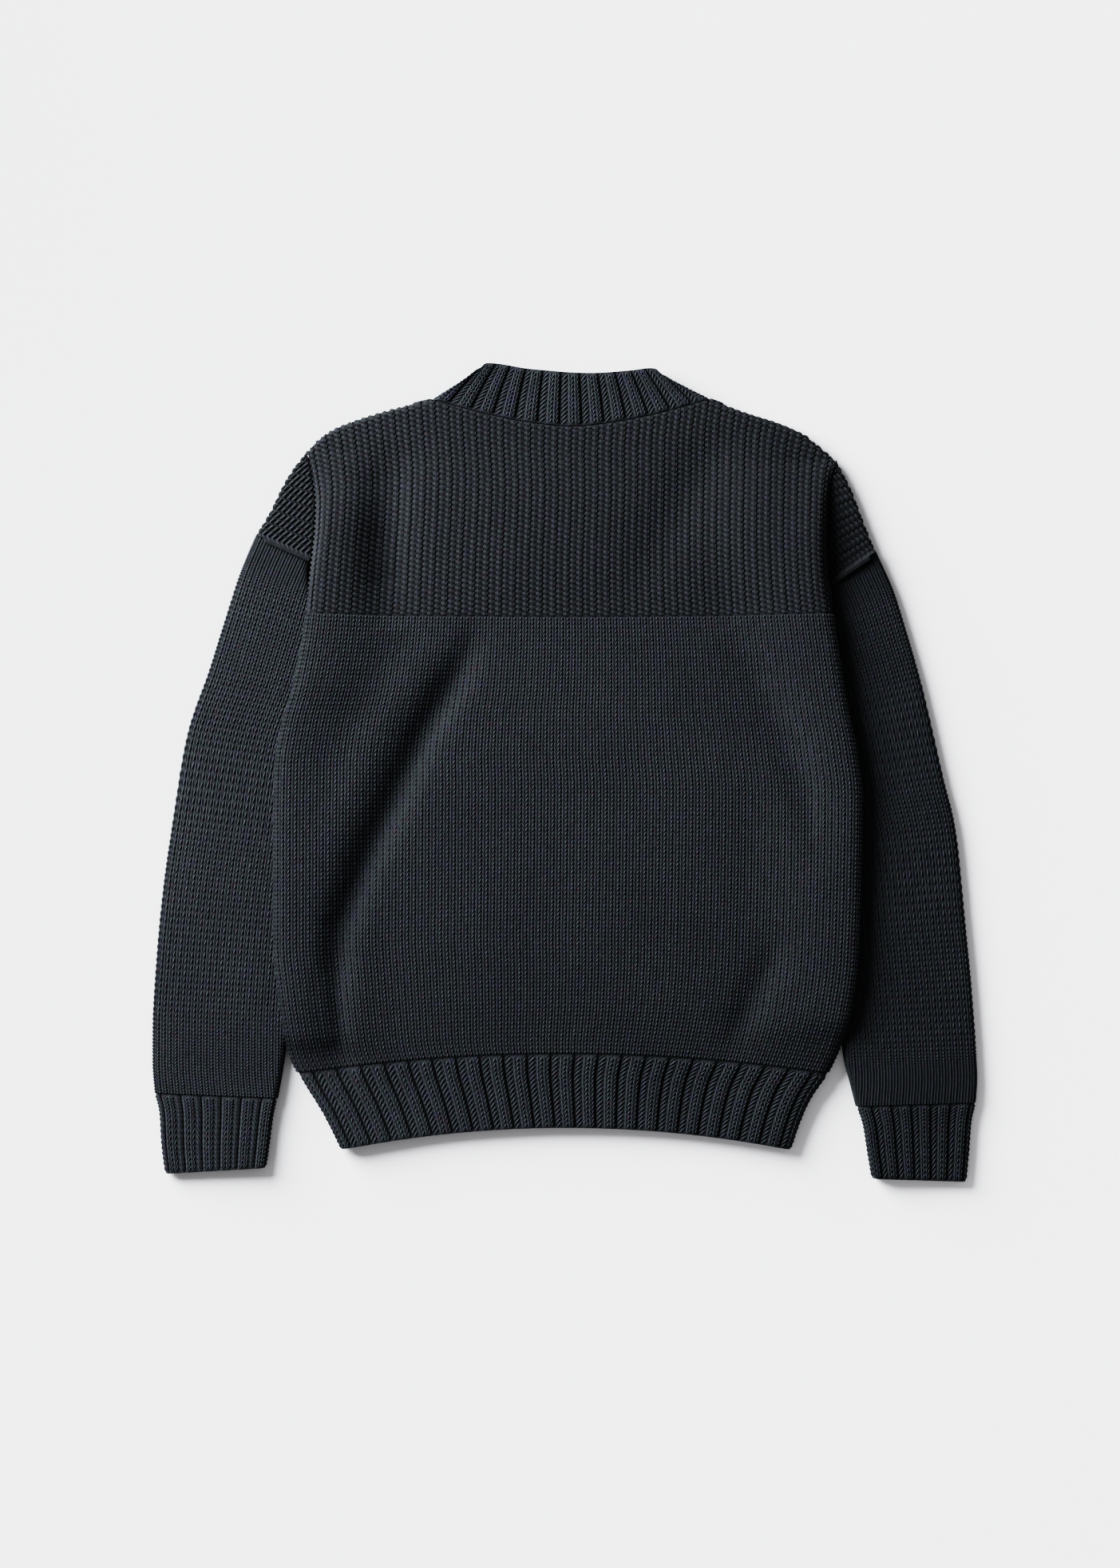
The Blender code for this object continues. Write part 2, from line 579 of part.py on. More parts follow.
def body_columns():
    """Shares across the body's cloth, and shares around half the collar that meet them."""
    neck_length = 2 * turned_length(NECK_HALF_WIDTH, EDGE_TURN)
    turned = turn_shares(neck_length, EDGE_TURN, TURN_STEPS - 1)
    half = [*turned[:-1], *np.linspace(turned[-1], 0.5, NECK_STEPS // 2 + 1)]
    neck = np.array(half + [1 - share for share in reversed(half[:-1])])
    neck_inset, _ = folded_across(neck, 2 * NECK_HALF_WIDTH, EDGE_TURN)
    length = 2 * turned_length((RIGHT_SIDE[0].x - LEFT_SIDE[0].x) / 2, SIDE_TURN)

    def share_at(distance):
        return turned_length(distance, SIDE_TURN) / length

    side = turn_shares(length, SIDE_TURN, TURN_STEPS)[:-1]
    side += [share_at(distance) for distance in SIDE_DISTANCES]
    on_body = share_at(NECK_CENTRE - NECK_HALF_WIDTH - LEFT_SIDE[0].x + neck_inset)
    return np.array([*side, *on_body, *(1 - share for share in reversed(side))]), neck


def yoke_rows():
    """Shares down the yoke: its folded top, the two armholes and its end."""
    whole = turned_length(LEFT_SIDE[0].y - YOKE_END, EDGE_TURN)
    turned = turn_shares(whole, EDGE_TURN, TURN_STEPS)
    left, right = (armhole_down(LEFT_SIDE, LEFT_ARMHOLE_Y),
                   armhole_down(RIGHT_SIDE, RIGHT_ARMHOLE_Y))
    return [*turned[:-1], *np.linspace(turned[-1], left, YOKE_STEPS), right, (1 + right) / 2, 1]


def tube_shares(width):
    """Shares around a flat tube: its two folded edges and what lies between."""
    length = 2 * turned_length(width / 2, EDGE_TURN)
    turned = turn_shares(length, EDGE_TURN, TURN_STEPS)
    half = [*turned[:-1], *np.linspace(turned[-1], 0.5, SLEEVE_FLAT_STEPS // 2 + 1)]
    top = np.array(half + [1 - share for share in reversed(half[:-1])]) / 2
    return np.concatenate([top, 0.5 + top[1:]])


# ---------------------------------------------------------------- the pieces
def make_yoke(back, columns, collection):
    outward = 1 if back else -1
    rows = yoke_rows()
    trim = SEAM_GAP / 2 / (LEFT_SIDE[0].y - YOKE_END)
    patches = [patch(lambda a, b: yoke_point(a, b, back), columns, rows, outward, end=trim)]
    outs = [*np.linspace(0, 0.8, WING_STEPS), 0.87, 0.94, 1.0]
    for left, side, armhole_y in ((True, LEFT_SIDE, LEFT_ARMHOLE_Y),
                                  (False, RIGHT_SIDE, RIGHT_ARMHOLE_Y)):
        hole = armhole_down(side, armhole_y)
        lines = [row / hole for row in rows if row < hole + 1e-6]
        patches.append(patch(lambda a, b, left=left: wing_point(a, b, left, back), outs, lines,
                             -outward if left else outward, end=0.0))
    wall("back_yoke" if back else "front_yoke", patches, CLOTH, collection)


def make_panel(name, back, levels, thickness, columns, collection):
    start, end = levels[0], levels[-1]
    trim = SEAM_GAP / 2 / (start - end)
    surface = patch(lambda a, b: body_point(a, start + (end - start) * b, back), columns,
                    [(start - level) / (start - end) for level in levels],
                    1 if back else -1, start=trim, end=trim)
    wall(name, [surface], thickness, collection)


def make_tube(name, stations, thickness, crown, collection):
    length = math.dist(stations[0][:2], stations[-1][:2])
    width = math.dist(stations[-1][:2], stations[-1][2:])
    surface = patch(lambda a, b: sleeve_point(a, b, stations, crown), tube_shares(width),
                    np.linspace(0, 1, len(stations)), -1 if stations[0].outer_x < 0 else 1,
                    start=1.5 * SEAM_GAP / length, end=SEAM_GAP / 2 / length)
    wall(name, [surface], thickness, collection)


def make_collar(neck, collection):
    around = [*(neck / 2), *(1 - neck[-2::-1] / 2)]
    height = COLLAR_LEFT_TIP[1] - NECK_SIDE_Y
    surface = patch(collar_point, around, np.linspace(0, 1, BAND_STEPS + 2), -1,
                    start=2 * SEAM_GAP / height)
    wall("collar", [surface], RIB_CLOTH, collection)


def main():
    for old in list(bpy.data.objects):
        bpy.data.objects.remove(old)
    collection = bpy.data.collections.new(OBJECT_NAME)
    bpy.context.scene.collection.children.link(collection)
    columns, neck = body_columns()
    for back, face in ((True, "back"), (False, "front")):
        make_yoke(back, columns, collection)
        make_panel(face + "_body", back, BODY_LEVELS, CLOTH, columns, collection)
        make_panel(face + "_hem_rib", back, np.linspace(RIB_START, HEM_END, BAND_STEPS + 1),
                   RIB_CLOTH, columns, collection)
    make_tube("left_sleeve", LEFT_SLEEVE, CLOTH, SLEEVE_CROWN, collection)
    make_tube("right_sleeve", RIGHT_SLEEVE, CLOTH, SLEEVE_CROWN, collection)
    make_tube("left_cuff", LEFT_CUFF, RIB_CLOTH, 0.0, collection)
    make_tube("right_cuff", RIGHT_CUFF, RIB_CLOTH, 0.0, collection)
    make_collar(neck, collection)


main()
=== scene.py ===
"""Guernsey fisherman sweater, laid flat with its back up, as it looks.

Each piece of knitting is a closed shell. Its outer face is the garment's surface with the
stitches standing in it: stocking stitch, seed stitch or rib, on a lattice of columns and
courses worked out from the gauge. Lengths are in millimetres until the meshes are made.
"""

import math
from collections import namedtuple

import bpy
import numpy as np
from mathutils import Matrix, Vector


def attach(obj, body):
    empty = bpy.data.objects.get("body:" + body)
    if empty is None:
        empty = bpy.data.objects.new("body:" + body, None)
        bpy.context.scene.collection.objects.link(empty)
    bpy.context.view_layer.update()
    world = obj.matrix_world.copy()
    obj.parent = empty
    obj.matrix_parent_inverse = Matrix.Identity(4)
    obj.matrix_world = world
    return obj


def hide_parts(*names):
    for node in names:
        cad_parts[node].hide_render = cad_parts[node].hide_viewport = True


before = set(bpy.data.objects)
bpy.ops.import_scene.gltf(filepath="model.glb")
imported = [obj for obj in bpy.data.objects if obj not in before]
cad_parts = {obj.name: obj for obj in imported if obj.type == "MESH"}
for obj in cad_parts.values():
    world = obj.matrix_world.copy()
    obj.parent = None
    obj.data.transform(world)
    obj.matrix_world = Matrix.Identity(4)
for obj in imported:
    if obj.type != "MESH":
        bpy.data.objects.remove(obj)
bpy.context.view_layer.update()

MM = 0.001

# ---------------------------------------------------------------- driving dimensions
CLOTH = 4.5  # wall of the stocking stitch and seed stitch
RIB_CLOTH = 5.0  # wall of the ribs
SEAM_GAP = 0.3  # between pieces
LEAST_HEIGHT = 9.7  # from the front's underside to the back's top where they are pressed
EDGE_TURN = 6.2  # radius of the fold along shoulders, sleeves and collar
SIDE_TURN = 12.0  # width of the fold along the body's sides
SLEEVE_HEIGHT = 12.4  # top of the sleeves, and of the dropped shoulders beside the body
SLEEVE_CROWN = 1.2  # how much more a sleeve rises along its middle
SLEEVE_TILT = 2.0  # and along its inner edge, with as much less along its outer one
TILT_START = 0.3  # share of a sleeve over which that begins
SLEEVE_LIFT = 15.0  # underside of the body where a sleeve lies beneath it
SIDE_FADE = (12.0, 105.0)  # from a side: where the raised back starts and stops falling
TUCK_FADE = (34.0, 66.0)  # from a side: where the front starts and stops coming down
ARMHOLE_RAMP = 24.0  # below the armhole: the front's edge rises to meet the back's
COLLAR_TOP = 15.5  # top of the collar's upper edge
NECK_CENTRE = 5.5
NECK_HALF_WIDTH = 122.5
NECK_SIDE_Y = 327.9
BACK_NECK_DEPTH = 24.5
FRONT_NECK_DEPTH = 64.0
COLLAR_LEFT_TIP = (-78.0, 350.5)  # where the collar's left fold ends at its upper edge
COLLAR_RIGHT_TIP = (88.0, 345.5)
COLLAR_FRONT_DROP = 40.0  # how far the front's upper edge lies below the back's

# The body's folded sides, from the shoulder's corner down to the hem. lift is the share of
# SLEEVE_LIFT that the front is raised there, and crest is the back's height inside the edge.
Side = namedtuple("Side", "y x lift crest")
LEFT_SIDE = [
    Side(282.0, -226.0, 0.0, 13.0),
    Side(258.0, -221.5, 0.0, 16.5),
    Side(234.5, -218.8, 0.0, 22.0),
    Side(210.0, -219.8, 0.0, 26.0),
    Side(189.0, -222.0, 0.0, 28.0),
    Side(158.0, -224.8, 1.0, 30.5),
    Side(132.0, -227.5, 1.0, 31.5),
    Side(76.0, -238.0, 1.0, 31.0),
    Side(43.0, -247.5, 1.0, 30.5),
    Side(4.0, -254.0, 1.0, 30.0),
    Side(-50.0, -255.0, 1.0, 29.5),
    Side(-148.0, -255.0, 1.0, 29.0),
    Side(-191.0, -251.0, 1.0, 28.5),
    Side(-226.0, -246.0, 0.85, 26.0),
    Side(-249.0, -241.0, 0.25, 19.0),
    Side(-272.0, -229.0, 0.0, 16.0),
    Side(-299.0, -212.5, 0.0, 15.0),
    Side(-330.0, -197.0, 0.0, 14.5),
]
RIGHT_SIDE = [
    Side(273.5, 238.0, 0.0, 13.0),
    Side(256.0, 233.0, 0.0, 18.0),
    Side(230.0, 230.8, 0.0, 24.5),
    Side(200.0, 230.0, 0.0, 29.0),
    Side(168.0, 231.5, 0.0, 31.0),
    Side(138.0, 235.0, 1.0, 31.5),
    Side(112.0, 239.0, 1.0, 31.5),
    Side(62.0, 247.0, 1.0, 31.0),
    Side(20.0, 255.5, 1.0, 30.5),
    Side(-22.0, 260.5, 1.0, 29.5),
    Side(-92.0, 259.5, 1.0, 29.0),
    Side(-162.0, 257.0, 1.0, 28.5),
    Side(-211.0, 250.0, 0.95, 27.0),
    Side(-240.0, 241.5, 0.3, 20.0),
    Side(-264.0, 230.5, 0.0, 16.3),
    Side(-284.0, 217.0, 0.0, 15.2),
    Side(-303.0, 208.0, 0.0, 14.8),
    Side(-330.0, 198.5, 0.0, 14.5),
]
LEFT_ARMHOLE_Y = 189.0
RIGHT_ARMHOLE_Y = 168.0

# Height of the back's middle, where it lies on the front with some air between.
Loft = namedtuple("Loft", "y height")
LOFTS = [Loft(340.0, 12.8), Loft(290.0, 13.5), Loft(230.0, 17.0), Loft(139.0, 18.5),
         Loft(0.0, 19.5), Loft(-120.0, 19.5), Loft(-190.0, 18.0), Loft(-240.0, 15.5),
         Loft(-285.0, 13.3), Loft(-330.0, 12.8)]

# The shoulders' folded edges, from left to right.
Spot = namedtuple("Spot", "x y")
LEFT_SHOULDER = [Spot(-226.0, 282.0), Spot(-215.2, 293.3), Spot(-199.8, 303.1),
                 Spot(-156.4, 317.8), Spot(-117.0, 327.9)]
RIGHT_SHOULDER = [Spot(128.0, 327.9), Spot(154.4, 318.0), Spot(185.2, 308.0),
                  Spot(205.5, 299.6), Spot(224.4, 285.5), Spot(238.0, 273.5)]

# Each dropped shoulder's outer edge, down to the armhole seam.
LEFT_WING = [Spot(-226.0, 282.0), Spot(-238.5, 266.5), Spot(-247.5, 252.0),
             Spot(-258.5, 229.5), Spot(-270.0, 210.0)]
RIGHT_WING = [Spot(238.0, 273.5), Spot(245.0, 261.0), Spot(251.5, 248.0),
              Spot(261.5, 222.0), Spot(272.0, 195.5)]

# How the courses of knitting run across: y at the sides, and how much higher the middle is.
Course = namedtuple("Course", "y bow")
COURSES = [Course(139.0, -3.0), Course(0.0, 4.0), Course(-150.0, 11.0),
           Course(-263.5, 17.5), Course(-330.0, 19.5)]
YOKE_END = COURSES[0].y
RIB_START = COURSES[3].y
HEM_END = COURSES[4].y

# A sleeve's outer and inner edges, from the armhole seam down. The inner edge lies under
# the body until the sleeve comes clear of it above the hem.
Station = namedtuple("Station", "outer_x outer_y inner_x inner_y")
LEFT_SLEEVE = [
    Station(-270.0, 210.0, -222.6, 189.0),
    Station(-277.5, 193.0, -224.0, 174.5),
    Station(-285.0, 174.5, -222.4, 158.0),
    Station(-299.0, 131.0, -219.0, 112.0),
    Station(-312.0, 89.6, -216.0, 70.0),
    Station(-331.0, 33.6, -224.0, 18.0),
    Station(-344.0, -43.4, -228.0, -56.0),
    Station(-352.0, -99.4, -228.5, -110.0),
    Station(-358.0, -162.4, -233.0, -170.0),
    Station(-361.3, -218.4, -241.5, -224.0),
    Station(-361.5, -252.0, -246.0, -256.0),
    Station(-359.5, -281.0, -251.0, -285.0),
]
RIGHT_SLEEVE = [
    Station(272.0, 195.5, 232.1, 168.0),
    Station(280.0, 178.5, 233.9, 154.0),
    Station(288.0, 160.0, 232.6, 138.0),
    Station(300.0, 122.0, 229.5, 98.0),
    Station(312.0, 80.0, 226.0, 58.0),
    Station(331.0, -1.4, 232.0, -18.0),
    Station(342.5, -50.4, 233.0, -64.0),
    Station(350.5, -127.4, 233.5, -138.0),
    Station(356.0, -183.4, 239.0, -192.0),
    Station(360.4, -243.0, 243.5, -247.0),
    Station(361.5, -267.0, 249.0, -270.0),
    Station(360.2, -289.0, 254.5, -292.0),
]
LEFT_CUFF = [
    Station(-359.5, -281.0, -251.0, -285.0),
    Station(-355.5, -297.5, -254.5, -302.0),
    Station(-353.8, -325.0, -257.5, -325.0),
    Station(-350.5, -351.0, -260.5, -345.5),
]
RIGHT_CUFF = [
    Station(360.2, -289.0, 254.5, -292.0),
    Station(356.5, -306.0, 260.0, -309.0),
    Station(354.5, -331.0, 263.5, -331.0),
    Station(352.0, -357.9, 267.5, -355.0),
]

# The collar's upper edge on the back, by share of the way from its left to its right tip.
Edge = namedtuple("Edge", "share y")
COLLAR_EDGE = [Edge(0.0, 350.5), Edge(0.09, 357.9), Edge(0.30, 352.8), Edge(0.60, 349.3),
               Edge(0.80, 351.5), Edge(0.90, 353.5), Edge(1.0, 345.5)]

# The back's large soft folds. Each runs through its spots, is as high as height there
# (negative for a trough), and fades over reach to each side.
Fold = namedtuple("Fold", "x y height reach")
FOLDS = [
    [  # trough from below the yoke down to the hem's left
        Fold(-72.0, 140.0, 0.0, 14.0), Fold(-84.0, 108.0, -4.0, 14.0),
        Fold(-99.0, 78.0, -7.5, 13.5), Fold(-124.0, 34.0, -8.0, 13.5),
        Fold(-148.0, -20.0, -8.0, 13.5), Fold(-174.0, -76.0, -8.0, 13.5),
        Fold(-196.0, -134.0, -8.5, 13.5), Fold(-203.0, -190.0, -8.0, 13.5),
        Fold(-199.0, -236.0, -5.0, 12.5), Fold(-188.0, -272.0, 0.0, 12.0)],
    [  # bank beside that trough
        Fold(-118.0, 122.0, 0.0, 20.0), Fold(-138.0, 80.0, 4.0, 20.0),
        Fold(-168.0, 22.0, 4.0, 20.0), Fold(-200.0, -56.0, 2.0, 16.0),
        Fold(-226.0, -130.0, 0.0, 16.0)],
    [  # hollow in the yoke beside the left side
        Fold(-148.0, 290.0, 0.0, 20.0), Fold(-156.0, 252.0, -7.5, 21.0),
        Fold(-158.0, 205.0, -10.5, 21.0), Fold(-156.0, 168.0, -8.5, 21.0),
        Fold(-150.0, 124.0, 0.0, 20.0)],
    [  # swell of the yoke's right
        Fold(176.0, 300.0, 0.0, 26.0), Fold(176.0, 262.0, 2.5, 28.0),
        Fold(160.0, 214.0, 2.5, 28.0), Fold(146.0, 150.0, 0.0, 26.0)],
    [  # hollow across the yoke, beside that swell
        Fold(142.0, 304.0, 0.0, 20.0), Fold(124.0, 272.0, -3.2, 22.0),
        Fold(98.0, 228.0, -3.2, 24.0), Fold(74.0, 182.0, -1.8, 24.0),
        Fold(60.0, 140.0, 0.0, 24.0)],
    [  # trough beside the right side
        Fold(140.0, 122.0, 0.0, 16.0), Fold(168.0, 80.0, -5.0, 18.0),
        Fold(196.0, 22.0, -6.0, 18.0), Fold(217.0, -36.0, -5.0, 17.0),
        Fold(228.0, -90.0, 0.0, 16.0)],
    [  # short trough above the hem's right
        Fold(190.0, -130.0, 0.0, 15.0), Fold(178.0, -170.0, -3.5, 15.0),
        Fold(156.0, -215.0, -3.5, 14.0), Fold(140.0, -250.0, 0.0, 14.0)],
]


# ---------------------------------------------------------------- curves through tables
def through(knots, values, at):
    """A smooth curve through the table's points that never swings past them."""
    knots, values = np.asarray(knots, float), np.asarray(values, float)
    if knots[0] > knots[-1]:
        knots, values = knots[::-1], values[::-1]
    step = np.diff(knots)
    slope = np.diff(values) / step
    product, total = slope[1:] * slope[:-1], slope[1:] + slope[:-1]
    bend = np.where(product > 0, 2 * product / np.where(product > 0, total, 1), 0)
    tangent = np.concatenate([slope[:1], bend, slope[-1:]])
    at = np.clip(at, knots[0], knots[-1])
    i = np.clip(np.searchsorted(knots, at, side="right") - 1, 0, len(step) - 1)
    t = (at - knots[i]) / step[i]
    return (
        (1 + 2 * t) * (1 - t) ** 2 * values[i]
        + t * (1 - t) ** 2 * step[i] * tangent[i]
        + t * t * (3 - 2 * t) * values[i + 1]
        - t * t * (1 - t) * step[i] * tangent[i + 1]
    )


def column(table, name):
    return [getattr(row, name) for row in table]


def at_level(table, name, y):
    return through(column(table, "y"), column(table, name), y)


def along_edge(spots, share):
    """x and y on the edge through the spots, at a share of its length."""
    corners = np.array(spots)
    run = np.concatenate([[0], np.cumsum(np.linalg.norm(np.diff(corners, axis=0), axis=1))])
    return (
        through(run, corners[:, 0], share * run[-1]),
        through(run, corners[:, 1], share * run[-1]),
    )


def fade(distance, start, stop):
    """1 up to start, 0 from stop on, and smooth in between."""
    t = np.clip((distance - start) / (stop - start), 0, 1)
    return 1 - t * t * (3 - 2 * t)


def turned_edge(length, turn, angle=math.pi / 2):
    """Cloth of this length past an edge where it turns down by the angle: how far in from
    the edge it reaches, and its rise, up to 1 where it lies flat."""
    left = np.maximum(angle - length / turn, 0)
    flat = np.maximum(length - turn * angle, 0)
    return turn * (np.sin(angle) - np.sin(left)) + flat, np.cos(left)


def turned_length(width, turn, angle=math.pi / 2):
    """Length of cloth over width, with one edge turned down by the angle."""
    return width - turn * np.sin(angle) + turn * angle


def folded_across(share, width, turn):
    """The same for cloth turned down at both edges: inset from the first edge, and rise."""
    half = turned_length(width / 2, turn)
    inset, rise = turned_edge(2 * half * np.minimum(share, 1 - share), turn)
    return np.where(share < 0.5, inset, width - inset), rise


# ---------------------------------------------------------------- how the body lies
def fold_height(x, y):
    """The large folds' heights, added up."""
    total = np.zeros(np.broadcast(x, y).shape)
    for spots in FOLDS:
        best = np.full(total.shape, np.inf)
        height = np.zeros(total.shape)
        reach = np.ones(total.shape)
        for a, b in zip(spots[:-1], spots[1:]):
            run_x, run_y = b.x - a.x, b.y - a.y
            t = np.clip(((x - a.x) * run_x + (y - a.y) * run_y) / (run_x**2 + run_y**2), 0, 1)
            away = np.hypot(x - a.x - t * run_x, y - a.y - t * run_y)
            nearer = away < best
            best = np.where(nearer, away, best)
            height = np.where(nearer, a.height + t * (b.height - a.height), height)
            reach = np.where(nearer, a.reach + t * (b.reach - a.reach), reach)
        total += height * np.exp(-((best / reach) ** 2))
    return total


def front_height(x, y):
    """Underside of the front: on the surface, and raised where a sleeve lies beneath."""
    left = at_level(LEFT_SIDE, "lift", y) * fade(x - at_level(LEFT_SIDE, "x", y), *TUCK_FADE)
    right = at_level(RIGHT_SIDE, "lift", y) * fade(at_level(RIGHT_SIDE, "x", y) - x, *TUCK_FADE)
    return SLEEVE_LIFT * (left + right)


def back_height(x, y):
    """Top of the back: a low swell in the middle, raised at its sides, with its folds."""
    middle = at_level(LOFTS, "height", y)
    left = (at_level(LEFT_SIDE, "crest", y) - middle) * fade(
        x - at_level(LEFT_SIDE, "x", y), *SIDE_FADE
    )
    right = (at_level(RIGHT_SIDE, "crest", y) - middle) * fade(
        at_level(RIGHT_SIDE, "x", y) - x, *SIDE_FADE
    )
    height = middle + left + right + fold_height(x, y)
    least = front_height(x, y) + LEAST_HEIGHT
    return least + np.logaddexp(0, height - least)


def side_edge_height(side, y, armhole_y, back):
    """Height of the body's side edge: the seam in its fold, or the valley by the shoulder."""
    crest = at_level(side, "crest", y)
    seam = (SLEEVE_LIFT * at_level(side, "lift", y) + crest) / 2
    if back:
        return np.where(y > armhole_y, np.minimum(crest, SLEEVE_HEIGHT), seam + SEAM_GAP / 2)
    return (seam - SEAM_GAP / 2) * fade(y, armhole_y - ARMHOLE_RAMP, armhole_y)


def course_y(x, y_left, y_right, bow):
    left, right = at_level(LEFT_SIDE, "x", y_left), at_level(RIGHT_SIDE, "x", y_right)
    t = np.clip((x - left) / (right - left), 0, 1)
    return y_left + (y_right - y_left) * t + bow * 4 * t * (1 - t)


def across_body(share, y_left, y_right):
    """x at a share of the way across the body's cloth, and the rise of its folded edges."""
    left, right = at_level(LEFT_SIDE, "x", y_left), at_level(RIGHT_SIDE, "x", y_right)
    inset, rise = folded_across(share, right - left, SIDE_TURN)
    return left + inset, rise


def body_height(share, x, y, y_left, y_right, rise, back):
    edge = np.where(
        share < 0.5,
        side_edge_height(LEFT_SIDE, y_left, LEFT_ARMHOLE_Y, back),
        side_edge_height(RIGHT_SIDE, y_right, RIGHT_ARMHOLE_Y, back),
    )
    flat = back_height(x, y) if back else front_height(x, y)
    return edge + (flat - edge) * rise


def body_point(share, y_side, back):
    """A point of the body's outer face below the yoke, on the course that ends at y_side."""
    x, rise = across_body(share, y_side, y_side)
    y = course_y(x, y_side, y_side, at_level(COURSES, "bow", y_side))
    return np.stack([x, y, body_height(share, x, y, y_side, y_side, rise, back)], axis=-1)


def neckline(x, back):
    t = np.clip(np.abs((x - NECK_CENTRE) / NECK_HALF_WIDTH), 0, 1)
    if back:
        return NECK_SIDE_Y - BACK_NECK_DEPTH * (1 - t**1.6)
    return NECK_SIDE_Y - FRONT_NECK_DEPTH * (1 - t**2.6)


def yoke_top(x, back):
    """The yoke's upper boundary: shoulder, neckline, shoulder."""
    left = through(column(LEFT_SHOULDER, "x"), column(LEFT_SHOULDER, "y"), x)
    right = through(column(RIGHT_SHOULDER, "x"), column(RIGHT_SHOULDER, "y"), x)
    shoulder = np.where(x < NECK_CENTRE, left, right)
    return np.where(np.abs(x - NECK_CENTRE) < NECK_HALF_WIDTH, neckline(x, back), shoulder)


def on_shoulder(x):
    """1 along the shoulders, where the cloth turns down, to 0 along the neckline."""
    return 1 - np.clip((NECK_HALF_WIDTH - np.abs(x - NECK_CENTRE)) / EDGE_TURN, 0, 1)


def yoke_side_y(side, down):
    """y of the yoke's side edge, down its cloth from the shoulder (0) to its end (1)."""
    inset, _ = turned_edge(down * turned_length(side[0].y - YOKE_END, EDGE_TURN), EDGE_TURN)
    return side[0].y - inset


def yoke_point(share, down, back):
    """A point of the yoke's outer face between the dropped shoulders."""
    y_left, y_right = yoke_side_y(LEFT_SIDE, down), yoke_side_y(RIGHT_SIDE, down)
    x, rise = across_body(share, y_left, y_right)
    top_x, _ = across_body(share, LEFT_SIDE[0].y, RIGHT_SIDE[0].y)
    angle = on_shoulder(top_x) * math.pi / 2
    top = yoke_top(top_x, back) - 2 * SEAM_GAP * np.cos(angle)
    end = course_y(x, YOKE_END, YOKE_END, COURSES[0].bow)
    length = down * turned_length(top - end, EDGE_TURN, angle)
    inset, over = turned_edge(length, EDGE_TURN, angle)
    y = top - inset
    z = body_height(share, x, y, y_left, y_right, rise, back)
    edge = EDGE_TURN + (SEAM_GAP / 2 if back else -SEAM_GAP / 2)
    return np.stack([x, y, z + (edge - z) * (1 - over)], axis=-1)


def armhole_down(side, armhole_y):
    """How far down the yoke's cloth the armhole is."""
    whole = turned_length(side[0].y - YOKE_END, EDGE_TURN)
    return turned_length(side[0].y - armhole_y, EDGE_TURN) / whole


def wing_point(out, along, left, back):
    """A point of a dropped shoulder: out from the body (0) to its folded edge (1), and along
    from the shoulder's corner (0) to the armhole seam (1)."""
    side, wing = (LEFT_SIDE, LEFT_WING) if left else (RIGHT_SIDE, RIGHT_WING)
    armhole_y = LEFT_ARMHOLE_Y if left else RIGHT_ARMHOLE_Y
    valley = yoke_point(np.full_like(out, 0.0 if left else 1.0),
                        along * armhole_down(side, armhole_y), back)
    edge_x, edge_y = along_edge(wing, along)
    width = np.hypot(edge_x - valley[..., 0], edge_y - valley[..., 1])
    turn = np.clip(width, SEAM_GAP, EDGE_TURN)
    inset, rise = turned_edge((1 - out) * turned_length(np.maximum(width, turn), turn), turn)
    t = 1 - inset / np.maximum(width, turn)
    edge = EDGE_TURN + (SEAM_GAP / 2 if back else -SEAM_GAP / 2)
    return np.stack([
        valley[..., 0] + (edge_x - valley[..., 0]) * t,
        valley[..., 1] + (edge_y - valley[..., 1]) * t,
        edge + (valley[..., 2] - edge) * rise,
    ], axis=-1)


# ---------------------------------------------------------------- sleeves, cuffs and collar
def sleeve_point(around, down, stations, crown):
    """A point of a sleeve or cuff: around its tube from the inner edge over the top, and
    down its stations."""
    rows = np.linspace(0, 1, len(stations))
    outer_x, outer_y, inner_x, inner_y = (
        through(rows, column(stations, name), down) for name in Station._fields
    )
    share = 1 - np.abs(1 - 2 * around)
    width = np.hypot(outer_x - inner_x, outer_y - inner_y)
    inset, rise = folded_across(share, width, EDGE_TURN)
    t = inset / width
    middle = SLEEVE_HEIGHT / 2
    tilt = SLEEVE_TILT * (1 - 2 * t) * (1 - fade(down, 0, TILT_START) if crown else 1)
    top = SLEEVE_HEIGHT + tilt + crown * np.sin(math.pi * down) * 6.75 * t * t * (1 - t)
    z = np.where(around < 0.5, middle + (top - middle) * rise, middle - middle * rise)
    return np.stack([inner_x + (outer_x - inner_x) * t, inner_y + (outer_y - inner_y) * t, z],
                    axis=-1)


